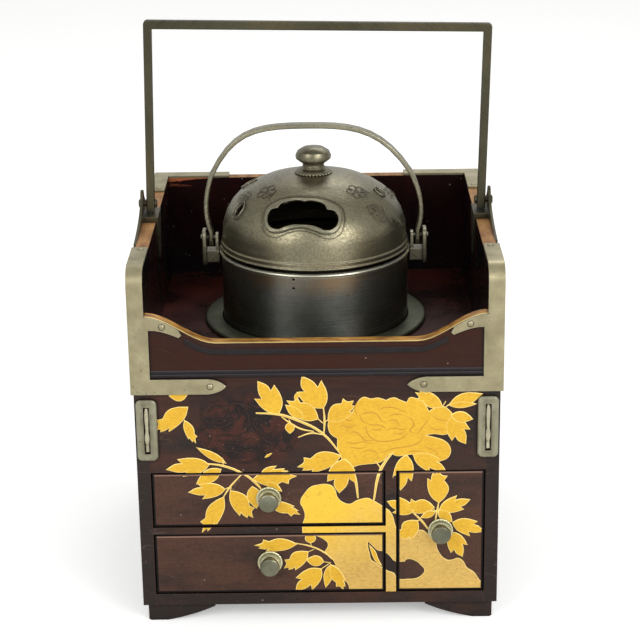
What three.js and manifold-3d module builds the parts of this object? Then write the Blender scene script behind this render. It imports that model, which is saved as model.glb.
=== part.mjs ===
// A lacquer smoking cabinet: a drawer case with an open tray on top, a lidded fire bowl in a
// metal-lined well, two fold-out pipe rests, metal corner mounts and a hinged carrying handle.
// Millimetres, +Z up, front towards -Y. Pieces are drawn with x = 0 in the middle, y = 0 at the
// front face of the case and z = 0 under its bottom board, and one group moves them to the frame.
import * as THREE from "three";
import { mergeVertices } from "three/addons/utils/BufferGeometryUtils.js";
import Module from "manifold-3d";

const wasm = await Module();
wasm.setup();

// Case
const caseWidth = 205;
const caseDepth = 203;
const board = 7.6; // side and back walls
const frontBoard = 8; // fascia and gallery front
const bottomBoard = 7;
const shelfBoard = 4.3;
const partitionBoard = 6.2;
const dustBoard = 4;
const floorBoard = 8; // tray floor
const lowerOpening = 38; // heights of the openings of the left drawers
const upperOpening = 34.2;
const rightOpening = 50.6; // width of the opening of the tall drawer
const fasciaHeight = 57.5;
const floorStep = 0.6; // tray floor below the top of the fascia
const wallRise = 63; // tray floor to the top of the walls
const wallCorner = 9; // rounding of the front top corner of the side walls
const galleryLow = 20.3; // gallery front above the fascia, in the middle
const galleryHigh = 36; // and at its ends
const ogeeLength = 39; // the rise from low to high
const beadDrop = 3.6; // top of the gallery to its bead
const beadHeight = 2.8;
const beadRise = 0.7;
const mouldingHeight = 4.4; // double bead along the foot of the gallery front
const mouldingRise = 0.9;
const footHeight = 11;
const footLength = 39;
const footSole = 11;
const footThickness = 8;
const footInset = 2.6;

// Metal mounts
const mountPlate = 1.5;
const armDrop = 0.4; // top of the low arms below the fascia's top
const mountBand = 9.7; // width of the upright band on the front
const mountArm = 52; // length of the low arm on the front and the back
const sideArm = 42; // length of the low arm on the sides
const armHeight = 9;
const armTip = 10; // length of the pointed end of an arm
const galleryArm = 28; // length of the arm that follows the gallery
const galleryArmDepth = 7.2; // at its root
const galleryArmEnd = 4.2; // and near its tip
const topArmDepth = 7.2; // side and back plates below the wall top
const strapRun = 41; // strap over the wall top, from the front or the back face
const backStrapRun = 46.5; // strap over the back wall's top
const rivetRadius = 1.6;
const rivetRise = 0.6;

// Carrying handle and its brackets
const handleSetback = 4; // handle axis behind the middle of the case
const handleBar = 4.8; // square bar
const handleInset = 1.7; // outer face of the legs inside the wall's outer face
const handleCorner = 2.2;
const handleFoot = 5; // leg below its pivot
const handleSway = 2.7; // the old bar is a little bent: its top leans to the right
const handleLeftRise = 2.9; // its left corner is this much higher than a square bar's
const handleRightDrop = 1.4; // and its right corner this much lower
const handlePivotLift = 5.6; // pivot above the saddle
const saddle = 3.3; // thickness
const saddleLength = 22;
const earRise = 17.2; // ear plate above the wall top
const earSkirt = 20; // and below it
const earShoulder = 6.5; // height of its ends below the wall top
const earGap = 2; // between the ear plate and the corner mounts
const earTip = 5; // half width of the ear under its rounded top
const earTipRound = 4; // height of that rounding
const earNeck = 12; // where the ear's sides curve out to its shoulders
const skirtTip = 9; // half width of the skirt above its rounded end
const skirtNeck = 14; // where the skirt's sides curve out
const innerFlange = 1.4; // thickness
const innerFlangeDrop = 24;
const innerFlangeTip = 2.5; // half width of its lower end
const handlePin = 1.5; // radius
const pinHead = 2.6; // radius
const pinHeadRise = 1.2;
const pinPlay = 0.1; // radial

// Fire bowl, its well and its lid
const bowlSetback = 4; // bowl axis behind the middle of the case
const bowlAside = -1; // and beside it
const bowlRadius = 55.8;
const bowlWall = 2.2;
const bowlFloor = 3;
const bowlRimRise = 44.1; // rim above the tray floor
const rimBead = 1.2;
const rimBeadHeight = 2.2;
const wellDepth = 30; // below the tray floor's top
const wellWall = 1.2;
const wellPlay = 0.6; // around the bowl
const wellFlange = 9.4; // beyond the liner's wall
const wellFlangeThickness = 2.4;
const wellHolePlay = 0.3;
const ventHole = 0.8; // two small holes in the bowl's front
const ventDrop = 3.4;
const ventPitch = 5.4;
const ventAside = -12; // from the middle
const lidWall = 1.6;
const lidNeck = 4; // depth of the neck inside the bowl's mouth
const lidNeckPlay = 0.5;
const lidGroove = 1.6; // shadow groove between rim and band
const lidBand = 4.8; // height
const lidOverhang = 0.8; // band beyond the bowl's wall
const domeInset = 0.6; // foot of the dome inside the bowl's wall
const domeRise = 39.6; // above the band
const domeSquareness = 2.4; // 2 is an ellipse, more is fuller
const knobSeat = 11.6; // flat on the dome's top
const knobRadius = 10.6;
const knobHeight = 15.5;
const knobShank = 2;
const knobNut = 1.3;
const shankPlay = 0.3;
const cloudWidth = 42; // opening in the front of the lid
const cloudHeight = 20;
const cloudRise = 27; // its middle above the top of the band
const cloudAngle = -8; // degrees round from the front
const drops = [ // small drop-shaped holes: rise is counted from the cloud's middle
  { length: 10, width: 7.5, angle: -64, rise: -4 },
  { length: 9, width: 4, angle: -100, rise: 4.5 },
  { length: 6.5, width: 5, angle: 73, rise: 3.5 },
];
const liftRoom = 54.4; // between the bail and the handle, for lifting the bowl out of its well

// Bail of the bowl
const bailWidth = 7; // along y
const bailThickness = 2.6;
const bailOver = 11.4; // inside of the arch above the knob
const bailPivotRise = 6.2; // pivot above the rim
const bailFoot = 5; // leg below its pivot
const cheekGap = 0.3; // lug beside the bowl's rim
const innerCheek = 1.9;
const lugGap = 5.3; // between the two cheeks of a lug
const outerCheek = 2.6;
const outerCheekWidth = 12;
const outerCheekUp = 5.2; // above the pivot
const outerCheekDown = 16.2;
const innerCheekWidth = 7;
const lugFloorDrop = 7.2; // pivot to the floor between the cheeks
const lugBlock = 7; // height of the block under that floor
const bailPin = 1.1; // radius
const bailSide = 3; // how far the arch bulges beyond its legs
const bailLean = 4; // the bent arch leans to the left at its crown

// Drawers
const drawerPlay = 0.7; // around a drawer front
const drawerSeat = 0.3; // under the drawer sides
const drawerRecess = 0.4; // drawer face behind the case's face
const drawerFront = 7;
const drawerSide = 4;
const drawerBottom = 3;
const drawerBottomLift = 1;
const drawerBackRoom = 9; // behind the drawers
const drawerSideDrop = 3; // sides lower than the front's top
const pullRise = 0.6; // pull above the middle of the drawer front
const pullProjection = 8.4; // ahead of the drawer's face
const pullRadius = 5.7;
const pullNeck = 3;
const pullShank = 1.5;
const pullHolePlay = 0.3;
const pullNut = 3.6;
const rosetteRadius = 7.3;
const rosetteThickness = 1.2;
const rosettePetals = 16;

// Fold-out pipe rests
const restPlateWidth = 11.7;
const restPlateHeight = 36.8;
const restPlateThickness = 2.4;
const restPlateLift = 8.3; // above the drawer openings
const restPlateInset = 0.9;
const restPlateCorner = 3;
const restSlotWidth = 3.4;
const restSlotHeight = 28.2;
const restLeafWidth = 2.2;
const restLeafThickness = 1.6;
const restLeafPlay = 0.4; // above and below the leaf
const restBulge = 0.4; // each side of the leaf
const restPin = 0.4; // radius
const restPinPlay = 0.08;

const gap = 0.3; // between pieces that don't touch face to face
const roundSegments = 48;

const degrees = Math.PI / 180;
const half = caseWidth / 2;
const inner = half - board;
const backInner = caseDepth - board;
const lowerTop = bottomBoard + lowerOpening;
const shelfTop = lowerTop + shelfBoard;
const drawerTop = shelfTop + upperOpening;
const fasciaTop = drawerTop + fasciaHeight;
const floorTop = fasciaTop - floorStep;
const floorUnder = floorTop - floorBoard;
const wallTop = floorTop + wallRise;
const partitionRight = inner - rightOpening;
const partitionLeft = partitionRight - partitionBoard;
const handleY = caseDepth / 2 + handleSetback;
const bowlY = caseDepth / 2 + bowlSetback;
const rim = floorTop + bowlRimRise;
const bowlUnder = floorTop - wellDepth + wellWall;
const lidBandRadius = bowlRadius + lidOverhang;
const domeRadius = bowlRadius - domeInset;
const wellRadius = bowlRadius + wellPlay + wellWall;
const bandTop = rim + lidGroove + lidBand;
const domeTop = bandTop + domeRise;
const knobTop = domeTop + knobHeight;
const cheekStart = bowlRadius + rimBead + cheekGap;
const armTop = fasciaTop - armDrop;
const mountSill = armTop - armHeight;
const restPlateSill = drawerTop + restPlateLift;
const drawerEnd = backInner - drawerBackRoom;
const legMiddle = cheekStart + innerCheek + lugGap / 2; // x of the bail's legs
const cheekEnd = cheekStart + innerCheek + lugGap + outerCheek;
const bailPivot = rim + bailPivotRise;
const bailTop = knobTop + bailOver + bailThickness;
const handlePivot = wallTop + saddle + handlePivotLift;
const handleUnder = bailTop + liftRoom;

// Shapes and solids

function solid(geometry) {
  const bare = geometry.index ? geometry.toNonIndexed() : geometry.clone();
  bare.deleteAttribute("normal");
  bare.deleteAttribute("uv");
  const merged = mergeVertices(bare, 1e-4);
  const index = merged.index.array;
  const triVerts = [];
  for (let i = 0; i < index.length; i += 3) {
    const [a, b, c] = [index[i], index[i + 1], index[i + 2]];
    if (a !== b && b !== c && c !== a) triVerts.push(a, b, c);
  }
  const vertProperties = merged.attributes.position.array;
  const make = (triangles) =>
    new wasm.Manifold(
      new wasm.Mesh({ numProp: 3, vertProperties, triVerts: new Uint32Array(triangles) }),
    );
  const made = make(triVerts);
  return made.volume() < 0 ? make(triVerts.reverse()) : made;
}

function geometryOf(manifold) {
  const mesh = manifold.getMesh();
  const geometry = new THREE.BufferGeometry();
  geometry.setAttribute("position", new THREE.BufferAttribute(mesh.vertProperties, 3));
  geometry.setIndex(new THREE.BufferAttribute(mesh.triVerts, 1));
  return geometry;
}

function join(...geometries) {
  return geometryOf(geometries.map(solid).reduce((whole, part) => whole.add(part)));
}

function cut(geometry, ...tools) {
  return geometryOf(tools.map(solid).reduce((rest, tool) => rest.subtract(tool), solid(geometry)));
}

function common(geometry, other) {
  return geometryOf(solid(geometry).intersect(solid(other)));
}

function mirrored(geometry) {
  return geometryOf(solid(geometry.clone().scale(-1, 1, 1)));
}

function turnedRound(geometry) {
  return geometry.clone().scale(-1, -1, 1).translate(0, caseDepth, 0);
}

function box(x0, x1, y0, y1, z0, z1) {
  return new THREE.BoxGeometry(x1 - x0, y1 - y0, z1 - z0)
    .translate((x0 + x1) / 2, (y0 + y1) / 2, (z0 + z1) / 2);
}

function outline(points) {
  return new THREE.Shape(points.map(([a, b]) => new THREE.Vector2(a, b)));
}

function extruded(shape, depth, bevel, curveSegments) {
  return new THREE.ExtrudeGeometry(shape, {
    depth: depth - 2 * bevel,
    bevelEnabled: bevel > 0,
    bevelThickness: bevel,
    bevelSize: bevel,
    bevelOffset: -bevel,
    bevelSegments: 1,
    curveSegments,
  }).translate(0, 0, bevel);
}

// A shape drawn as seen from the front, in x and z, from y0 back to y1.
function seenFromFront(shape, y0, y1, bevel = 0, curveSegments = 8) {
  return extruded(shape, y1 - y0, bevel, curveSegments).rotateX(Math.PI / 2).translate(0, y1, 0);
}

// A shape drawn as seen from the right, in y and z, from x0 to x1.
function seenFromRight(shape, x0, x1, bevel = 0, curveSegments = 8) {
  const turn = new THREE.Matrix4().makeBasis(
    new THREE.Vector3(0, 1, 0),
    new THREE.Vector3(0, 0, 1),
    new THREE.Vector3(1, 0, 0),
  );
  return extruded(shape, x1 - x0, bevel, curveSegments).applyMatrix4(turn).translate(x0, 0, 0);
}

// A profile of [radius, height] points turned about an upright axis.
function turned(profile, segments = roundSegments) {
  const points = profile.map(([r, h]) => new THREE.Vector2(r, h));
  return new THREE.LatheGeometry(points, segments).rotateX(Math.PI / 2);
}

// The same about the x axis, with heights along x.
function turnedAlongX(profile, y, z, segments = 20) {
  return turned(profile, segments).rotateY(Math.PI / 2).translate(0, y, z);
}

// The same about an axis that points to the front, with heights counted forwards from y.
function turnedForwards(profile, x, y, z, segments = 20) {
  return turned(profile, segments).rotateX(Math.PI / 2).translate(x, y, z);
}

function rod(radius, from, to) {
  return [[0, from], [radius, from], [radius, to], [0, to]];
}

function closed(profile) {
  return [...profile, profile[0]];
}

function roundedOutline(x0, x1, z0, z1, radius) {
  const shape = new THREE.Shape();
  shape.moveTo(x0 + radius, z0);
  shape.lineTo(x1 - radius, z0);
  shape.absarc(x1 - radius, z0 + radius, radius, -Math.PI / 2, 0, false);
  shape.absarc(x1 - radius, z1 - radius, radius, 0, Math.PI / 2, false);
  shape.absarc(x0 + radius, z1 - radius, radius, Math.PI / 2, Math.PI, false);
  shape.absarc(x0 + radius, z0 + radius, radius, Math.PI, 1.5 * Math.PI, false);
  return shape;
}

// Height of the gallery front's top edge: level in the middle, and rising in an S to each wall.
function galleryEdge(x) {
  const t = Math.min(1, Math.max(0, (Math.abs(x) - (inner - ogeeLength)) / ogeeLength));
  const rise = t * t * (3 - 2 * t);
  return fasciaTop + galleryLow + (galleryHigh - galleryLow) * rise;
}

function along(from, to, steps) {
  return Array.from({ length: steps + 1 }, (_, i) => from + ((to - from) * i) / steps);
}

// The band between two drops below the gallery's edge, from -reach to reach.
function galleryBand(reach, dropFrom, dropTo) {
  const level = inner - ogeeLength;
  const side = level < reach ? along(level, reach, 8) : [reach];
  const xs = [...side.map((x) => -x).reverse(), ...side];
  const upper = xs.map((x) => [x, galleryEdge(x) - dropFrom]);
  const lower = xs.map((x) => [x, galleryEdge(x) - dropTo]).reverse();
  return outline([...upper, ...lower]);
}

// Case

function caseSide() {
  const shape = new THREE.Shape();
  shape.moveTo(0, 0);
  shape.lineTo(caseDepth, 0);
  shape.lineTo(caseDepth, wallTop);
  shape.lineTo(wallCorner, wallTop);
  shape.absarc(wallCorner, wallTop - wallCorner, wallCorner, Math.PI / 2, Math.PI, false);
  return seenFromRight(shape, inner, half);
}

function partition() {
  return box(partitionLeft, partitionRight, 0, backInner, bottomBoard, drawerTop);
}

function dustBoardPiece() {
  return box(-inner, inner, frontBoard, backInner, drawerTop, drawerTop + dustBoard);
}

function trayFloor() {
  const hole = turned(rod(wellRadius + wellHolePlay, floorUnder - 1, floorTop + 1));
  return cut(
    box(-inner, inner, frontBoard, backInner, floorUnder, floorTop),
    hole.translate(bowlAside, bowlY, 0),
  );
}

function galleryFront() {
  const level = inner - ogeeLength;
  const xs = [...along(-inner, -level, 10), ...along(level, inner, 10)];
  const edge = xs.map((x) => [x, galleryEdge(x)]);
  const panel = seenFromFront(
    outline([[inner, fasciaTop], [-inner, fasciaTop], ...edge].reverse()),
    0,
    frontBoard,
  );
  const beadReach = half - galleryArm - 1.5;
  const bead = galleryBand(beadReach, beadDrop, beadDrop + beadHeight);
  const mouldingReach = half - mountBand - gap;
  const bump = mouldingHeight / 4;
  const lowest = 1.5 * Math.PI;
  const profile = new THREE.Shape();
  profile.moveTo(frontBoard / 2, fasciaTop);
  profile.lineTo(frontBoard / 2, fasciaTop + mouldingHeight);
  profile.lineTo(0, fasciaTop + mouldingHeight);
  for (const middle of [3 * bump, bump])
    profile.absellipse(0, fasciaTop + middle, mouldingRise, bump, Math.PI / 2, lowest, false);
  return join(
    panel,
    seenFromFront(bead, -beadRise, frontBoard / 2),
    seenFromRight(profile, -mouldingReach, mouldingReach, 0, 5),
  );
}

// The curve from a foot's sole up to the underside of the case, over its length.
function footOutline(start) {
  const shape = new THREE.Shape();
  const end = start + footLength;
  shape.moveTo(start + 1, -footHeight);
  shape.lineTo(start + footSole, -footHeight);
  shape.quadraticCurveTo(end - footLength * 0.3, -footHeight * 0.72, end, -footHeight * 0.2);
  shape.lineTo(end, 0);
  shape.lineTo(start, 0);
  return shape;
}

function foot() {
  const outer = half - footInset;
  const frontLeg = seenFromFront(footOutline(-outer), footInset, footInset + footThickness);
  const sideLeg = seenFromRight(footOutline(footInset), -outer, -outer + footThickness);
  return mirrored(join(frontLeg, sideLeg));
}

// Corner mounts

// The pointed end of an arm that runs from z0 to z1, reached along x or y.
function armEnd(shape, end, z0, z1) {
  const root = end + Math.sign(shape.currentPoint.x - end) * armTip;
  const middle = (z0 + z1) / 2;
  shape.lineTo(root, z0);
  shape.quadraticCurveTo(end + (root - end) * 0.3, z0 + (z1 - z0) * 0.1, end, middle);
  shape.quadraticCurveTo(end + (root - end) * 0.3, z1 - (z1 - z0) * 0.1, root, z1);
}

function frontPlateOutline() {
  const armStart = half - galleryArm;
  const shape = new THREE.Shape();
  shape.moveTo(half + mountPlate, mountSill);
  armEnd(shape, half - mountArm, mountSill, armTop);
  shape.lineTo(half - mountBand, armTop);
  const [root, tip] = [half - mountBand, armStart + 1.5];
  for (const x of along(root, tip, 5)) {
    const depth = galleryArmEnd + ((galleryArmDepth - galleryArmEnd) * (x - tip)) / (root - tip);
    shape.lineTo(x, galleryEdge(x) - depth);
  }
  shape.lineTo(armStart, galleryEdge(armStart) - galleryArmEnd / 2);
  for (const x of along(tip, inner, 6)) shape.lineTo(x, galleryEdge(x));
  shape.lineTo(inner, wallTop - wallCorner);
  shape.lineTo(half + mountPlate, wallTop - wallCorner);
  return shape;
}

function backPlateOutline() {
  const shape = new THREE.Shape();
  shape.moveTo(half + mountPlate, mountSill);
  armEnd(shape, half - mountArm, mountSill, armTop);
  shape.lineTo(half - mountBand, armTop);
  shape.lineTo(half - mountBand, wallTop - topArmDepth);
  shape.lineTo(half - backStrapRun, wallTop - topArmDepth);
  shape.lineTo(half - backStrapRun, wallTop + mountPlate);
  shape.lineTo(half + mountPlate, wallTop + mountPlate);
  return shape;
}

function sidePlateOutline(corner) {
  const shape = new THREE.Shape();
  shape.moveTo(-mountPlate, mountSill);
  armEnd(shape, sideArm, mountSill, armTop);
  shape.lineTo(mountBand, armTop);
  shape.lineTo(mountBand, wallTop - topArmDepth);
  shape.lineTo(strapRun, wallTop - topArmDepth);
  shape.lineTo(strapRun, wallTop + mountPlate);
  if (corner) {
    shape.lineTo(corner, wallTop + mountPlate);
    shape.absarc(corner, wallTop - corner, corner + mountPlate, Math.PI / 2, Math.PI, false);
  } else {
    shape.lineTo(-mountPlate, wallTop + mountPlate);
  }
  return shape;
}

function frontStrapOutline() {
  const shape = new THREE.Shape();
  const middle = wallTop - wallCorner;
  shape.moveTo(strapRun, wallTop);
  shape.lineTo(strapRun, wallTop + mountPlate);
  shape.lineTo(wallCorner, wallTop + mountPlate);
  shape.absarc(wallCorner, middle, wallCorner + mountPlate, Math.PI / 2, Math.PI, false);
  shape.lineTo(0, middle);
  shape.absarc(wallCorner, middle, wallCorner, Math.PI, Math.PI / 2, true);
  return shape;
}

function rivet(height) {
  return [
    [0, height - 1],
    [rivetRadius, height - 1],
    [rivetRadius, height + rivetRise * 0.2],
    [rivetRadius * 0.7, height + rivetRise * 0.8],
    [0, height + rivetRise],
  ];
}

function forwardRivet(x, y, z) {
  return turnedForwards(rivet(mountPlate), x, y, z, 10);
}

function sideRivet(y, z) {
  return turnedAlongX(rivet(half + mountPlate), y, z, 10);
}

function topRivet(x, y) {
  return turned(rivet(wallTop + mountPlate), 10).translate(x, y, 0);
}

const armMiddle = mountSill + armHeight / 2;
const tipRivet = armTip * 0.9;

function frontMount() {
  const upperRivet = half - galleryArm * 0.62;
  return join(
    seenFromFront(frontPlateOutline(), -mountPlate, 0),
    seenFromRight(sidePlateOutline(wallCorner), half, half + mountPlate),
    seenFromRight(frontStrapOutline(), inner, half + mountPlate),
    forwardRivet(half - mountArm + tipRivet, 0, armMiddle),
    forwardRivet(upperRivet, 0, galleryEdge(upperRivet) - galleryArmDepth * 0.42),
    sideRivet(sideArm - tipRivet, armMiddle),
    topRivet(half - board / 2, strapRun - 4),
  );
}

function backMount() {
  const side = seenFromRight(sidePlateOutline(0), -half - mountPlate, -half);
  const backRivet = forwardRivet(-(half - mountArm + tipRivet), 0, armMiddle);
  const [backFace, strapTop] = [caseDepth + mountPlate, wallTop + mountPlate];
  return join(
    turnedRound(seenFromFront(mirroredOutline(backPlateOutline()), -mountPlate, 0)),
    turnedRound(side),
    box(inner, half + mountPlate, caseDepth - strapRun, backFace, wallTop, strapTop),
    box(half - backStrapRun, half, backInner, backFace, wallTop, strapTop),
    turnedRound(backRivet),
    sideRivet(caseDepth - sideArm + tipRivet, armMiddle),
    topRivet(half - board / 2, caseDepth - strapRun + 4),
  );
}

function mirroredOutline(shape) {
  const points = shape.getPoints(8).map((p) => [-p.x, p.y]);
  return outline(points.reverse());
}

// Handle and brackets

function earOutline() {
  const reach = caseDepth / 2 - strapRun - handleSetback - earGap;
  const [skirtEnd, tipEnd] = [wallTop - earSkirt, wallTop + earRise];
  const shoulder = wallTop - earShoulder;
  const shape = new THREE.Shape();
  shape.moveTo(handleY - reach, shoulder);
  const to = (cx, cz, x, z) => shape.quadraticCurveTo(handleY + cx, cz, handleY + x, z);
  to(-skirtNeck, shoulder - 2, -skirtTip, skirtEnd + earTipRound);
  to(-earTip, skirtEnd, 0, skirtEnd);
  to(earTip, skirtEnd, skirtTip, skirtEnd + earTipRound);
  to(skirtNeck, shoulder - 2, reach, shoulder);
  shape.lineTo(handleY + reach, wallTop);
  to(earNeck, wallTop + 3, earTip, tipEnd - earTipRound);
  to(earTip * 0.6, tipEnd, 0, tipEnd);
  to(-earTip * 0.6, tipEnd, -earTip, tipEnd - earTipRound);
  to(-earNeck, wallTop + 3, -reach, wallTop);
  return shape;
}

function handleBracket() {
  const reach = saddleLength / 2;
  const flange = outline([
    [handleY - innerFlangeTip, wallTop - innerFlangeDrop],
    [handleY + innerFlangeTip, wallTop - innerFlangeDrop],
    [handleY + reach, wallTop],
    [handleY + reach, wallTop + saddle],
    [handleY - reach, wallTop + saddle],
    [handleY - reach, wallTop],
  ]);
  const body = join(
    seenFromRight(earOutline(), half, half + mountPlate),
    box(inner, half + mountPlate / 2, handleY - reach, handleY + reach, wallTop, wallTop + saddle),
    seenFromRight(flange, inner - innerFlange, inner),
  );
  const hole = rod(handlePin + pinPlay, half - 1, half + mountPlate + 1);
  return cut(body, turnedAlongX(hole, handleY, handlePivot));
}

const legOuter = half - handleInset;
const legInner = legOuter - handleBar;

function handlePinPiece() {
  const [from, to] = [legInner - gap, half + mountPlate + gap / 2];
  const profile = [
    [0, from - pinHeadRise],
    [pinHead * 0.8, from - pinHeadRise],
    [pinHead, from - pinHeadRise / 2],
    [pinHead, from],
    [handlePin, from],
    [handlePin, to],
    [pinHead, to],
    [pinHead, to + pinHeadRise / 2],
    [pinHead * 0.8, to + pinHeadRise],
    [0, to + pinHeadRise],
  ];
  return turnedAlongX(profile, handleY, handlePivot, 14);
}

function carryHandle() {
  const foot = handlePivot - handleFoot;
  const top = handleUnder + handleBar;
  const shape = new THREE.Shape();
  shape.moveTo(legOuter, foot);
  shape.lineTo(legOuter, top - handleCorner);
  shape.absarc(legOuter - handleCorner, top - handleCorner, handleCorner, 0, Math.PI / 2, false);
  shape.absarc(-legOuter + handleCorner, top - handleCorner, handleCorner, Math.PI / 2, Math.PI, false);
  shape.lineTo(-legOuter, foot);
  shape.lineTo(-legInner, foot);
  shape.lineTo(-legInner, handleUnder);
  shape.lineTo(legInner, handleUnder);
  shape.lineTo(legInner, foot);
  const middle = (handleLeftRise - handleRightDrop) / 2;
  const slope = (handleLeftRise + handleRightDrop) / 2 / legOuter;
  const bent = shape.getPoints(4).map(({ x, y: z }) => {
    const share = Math.max(0, (z - handlePivot) / (top - handlePivot));
    return [x + handleSway * share, z + (middle - slope * x) * share];
  });
  const bar = seenFromFront(outline(bent), handleY - handleBar / 2, handleY + handleBar / 2, 0.4, 4);
  const hole = rod(handlePin + pinPlay, -half, half);
  return cut(bar, turnedAlongX(hole, handleY, handlePivot));
}

// Fire bowl group

function wellLiner() {
  const base = floorTop - wellDepth;
  const flangeRadius = wellRadius + wellFlange;
  const flangeTop = floorTop + wellFlangeThickness;
  return turned([
    [0, base],
    [wellRadius, base],
    [wellRadius, floorTop],
    [flangeRadius, floorTop],
    [flangeRadius, floorTop + wellFlangeThickness * 0.55],
    [flangeRadius - 0.5, flangeTop - 0.4],
    [flangeRadius - 1.4, flangeTop],
    [wellRadius - wellWall, flangeTop],
    [wellRadius - wellWall, base + wellWall],
    [0, base + wellWall],
  ]);
}

function fireBowl() {
  const beadMiddle = rim - rimBeadHeight / 2;
  const bowl = turned([
    [0, bowlUnder],
    [bowlRadius - 2, bowlUnder],
    [bowlRadius, bowlUnder + 2],
    [bowlRadius, rim - rimBeadHeight],
    [bowlRadius + rimBead * 0.8, beadMiddle - rimBeadHeight * 0.25],
    [bowlRadius + rimBead, beadMiddle],
    [bowlRadius + rimBead * 0.8, beadMiddle + rimBeadHeight * 0.3],
    [bowlRadius, rim],
    [bowlRadius - bowlWall, rim],
    [bowlRadius - bowlWall, bowlUnder + bowlFloor + 2],
    [bowlRadius - bowlWall - 2, bowlUnder + bowlFloor],
    [0, bowlUnder + bowlFloor],
  ]);
  const vents = [0, 1].map((i) =>
    turnedForwards(
      rod(ventHole, bowlRadius - 3 * bowlWall, bowlRadius + bowlWall),
      ventAside, 0, rim - ventDrop - i * ventPitch, 8,
    ));
  return cut(bowl, ...vents);
}

function bowlLug() {
  const blockTop = bailPivot - lugFloorDrop;
  const [from, to] = [bailPivot - outerCheekDown, bailPivot + outerCheekUp];
  const outerSide = cheekEnd - outerCheek;
  const cheek = roundedOutline(-outerCheekWidth / 2, outerCheekWidth / 2, from, to, 3.5);
  const innerReach = innerCheekWidth / 2;
  const innerTop = bailPivot + innerReach * 0.8;
  const innerSide = roundedOutline(-innerReach, innerReach, blockTop - 2, innerTop, 2);
  const blockReach = innerReach + 1;
  const body = join(
    seenFromRight(cheek, outerSide, cheekEnd, 0.5, 3),
    box(cheekStart - 4, outerSide + 0.8, -blockReach, blockReach, blockTop - lugBlock, blockTop),
    seenFromRight(innerSide, cheekStart + 0.2, cheekStart + innerCheek, 0, 3),
  );
  const room = turned(rod(cheekStart, blockTop - lugBlock - 1, to + 1));
  const hole = turnedAlongX(rod(bailPin + pinPlay, cheekStart - 2, cheekEnd + 1), 0, bailPivot, 16);
  return cut(body, room, hole);
}

function bailPinPiece() {
  const from = cheekStart + 0.4;
  const to = cheekEnd + gap / 2;
  const profile = [
    [0, from],
    [bailPin, from],
    [bailPin, to],
    [bailPin * 1.9, to],
    [bailPin * 1.5, to + 0.9],
    [0, to + 1.1],
  ];
  return turnedAlongX(profile, 0, bailPivot, 16);
}

// Half of the arch's middle line: from the foot up past its widest place to the crown.
function bailOutline() {
  const foot = bailPivot - bailFoot;
  const crown = bailTop - bailThickness / 2;
  const rise = crown - bailPivot;
  const line = new THREE.Path();
  line.moveTo(-legMiddle, foot);
  line.lineTo(-legMiddle, bailPivot + 4);
  line.bezierCurveTo(
    -legMiddle - bailSide * 1.3, bailPivot + rise * 0.22,
    -legMiddle - bailSide * 0.9, bailPivot + rise * 0.38,
    -legMiddle + 3, bailPivot + rise * 0.58,
  );
  line.bezierCurveTo(
    -legMiddle * 0.7, bailPivot + rise * 0.98,
    -legMiddle * 0.44, crown,
    0, crown,
  );
  const left = line.getPoints(9).map((p) => [p.x, p.y]);
  const right = left.slice(0, -1).map(([x, z]) => [-x, z]).reverse();
  const lean = (z) => bailLean * Math.max(0, (z - bailPivot) / rise) ** 2;
  return [...left, ...right].map(([x, z]) => [x - lean(z), z]);
}

// A strip of even thickness along a line of points.
function strip(points, thickness) {
  const sides = points.map(([x, z], i) => {
    const [ax, az] = points[Math.max(0, i - 1)];
    const [bx, bz] = points[Math.min(points.length - 1, i + 1)];
    const length = Math.hypot(bx - ax, bz - az);
    const [nx, nz] = [(az - bz) / length, (bx - ax) / length];
    const reach = thickness / 2;
    return [[x + nx * reach, z + nz * reach], [x - nx * reach, z - nz * reach]];
  });
  return outline([...sides.map((s) => s[0]), ...sides.map((s) => s[1]).reverse()]);
}

function bail() {
  const reach = bailWidth / 2;
  const arch = seenFromFront(strip(bailOutline(), bailThickness), -reach, reach, 0.5);
  const foot = bailPivot - bailFoot;
  const side = new THREE.Shape();
  side.moveTo(reach, bailTop + 5);
  side.lineTo(-reach, bailTop + 5);
  side.lineTo(-reach, foot + reach);
  side.absarc(0, foot + reach, reach, Math.PI, 2 * Math.PI, false);
  const rounded = common(arch, seenFromRight(side, -2 * legMiddle, 2 * legMiddle));
  const hole = rod(bailPin + pinPlay, -2 * legMiddle, 2 * legMiddle);
  return cut(rounded, turnedAlongX(hole, 0, bailPivot, 16));
}

// Points [radius, height above the band] of the dome, from the band to the flat under the knob.
function domeProfile(radius, height, flat) {
  const power = 2 / domeSquareness;
  const last = Math.acos(Math.pow(flat / radius, domeSquareness / 2));
  return along(0, last, 8).map((t) => [
    radius * Math.pow(Math.cos(t), power),
    height * Math.pow(Math.sin(t), power),
  ]);
}

// The lobed cloud of the lid's front opening.
function cloudOutline() {
  const [w, h] = [cloudWidth / 2, cloudHeight / 2];
  const shape = new THREE.Shape();
  shape.moveTo(0, h);
  for (const side of [1, -1]) {
    const to = (x, z, cx, cz) => shape.quadraticCurveTo(side * cx * w, cz * h, side * x * w, z * h);
    if (side > 0) {
      to(0.5, 0.8, 0.36, 1.08);
      to(0.98, 0.1, 0.92, 0.86);
      to(0.62, -0.92, 1.08, -0.86);
      to(0, -0.72, 0.32, -0.66);
    } else {
      to(0.62, -0.92, 0.32, -0.66);
      to(0.98, 0.1, 1.08, -0.86);
      to(0.5, 0.8, 0.92, 0.86);
      to(0, 1, 0.36, 1.08);
    }
  }
  return shape;
}

function teardrop(length, width) {
  const shape = new THREE.Shape();
  shape.moveTo(0, length / 2);
  shape.quadraticCurveTo(width * 0.7, 0, width * 0.4, -length * 0.32);
  shape.quadraticCurveTo(0, -length * 0.62, -width * 0.4, -length * 0.32);
  shape.quadraticCurveTo(-width * 0.7, 0, 0, length / 2);
  return shape;
}

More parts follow.
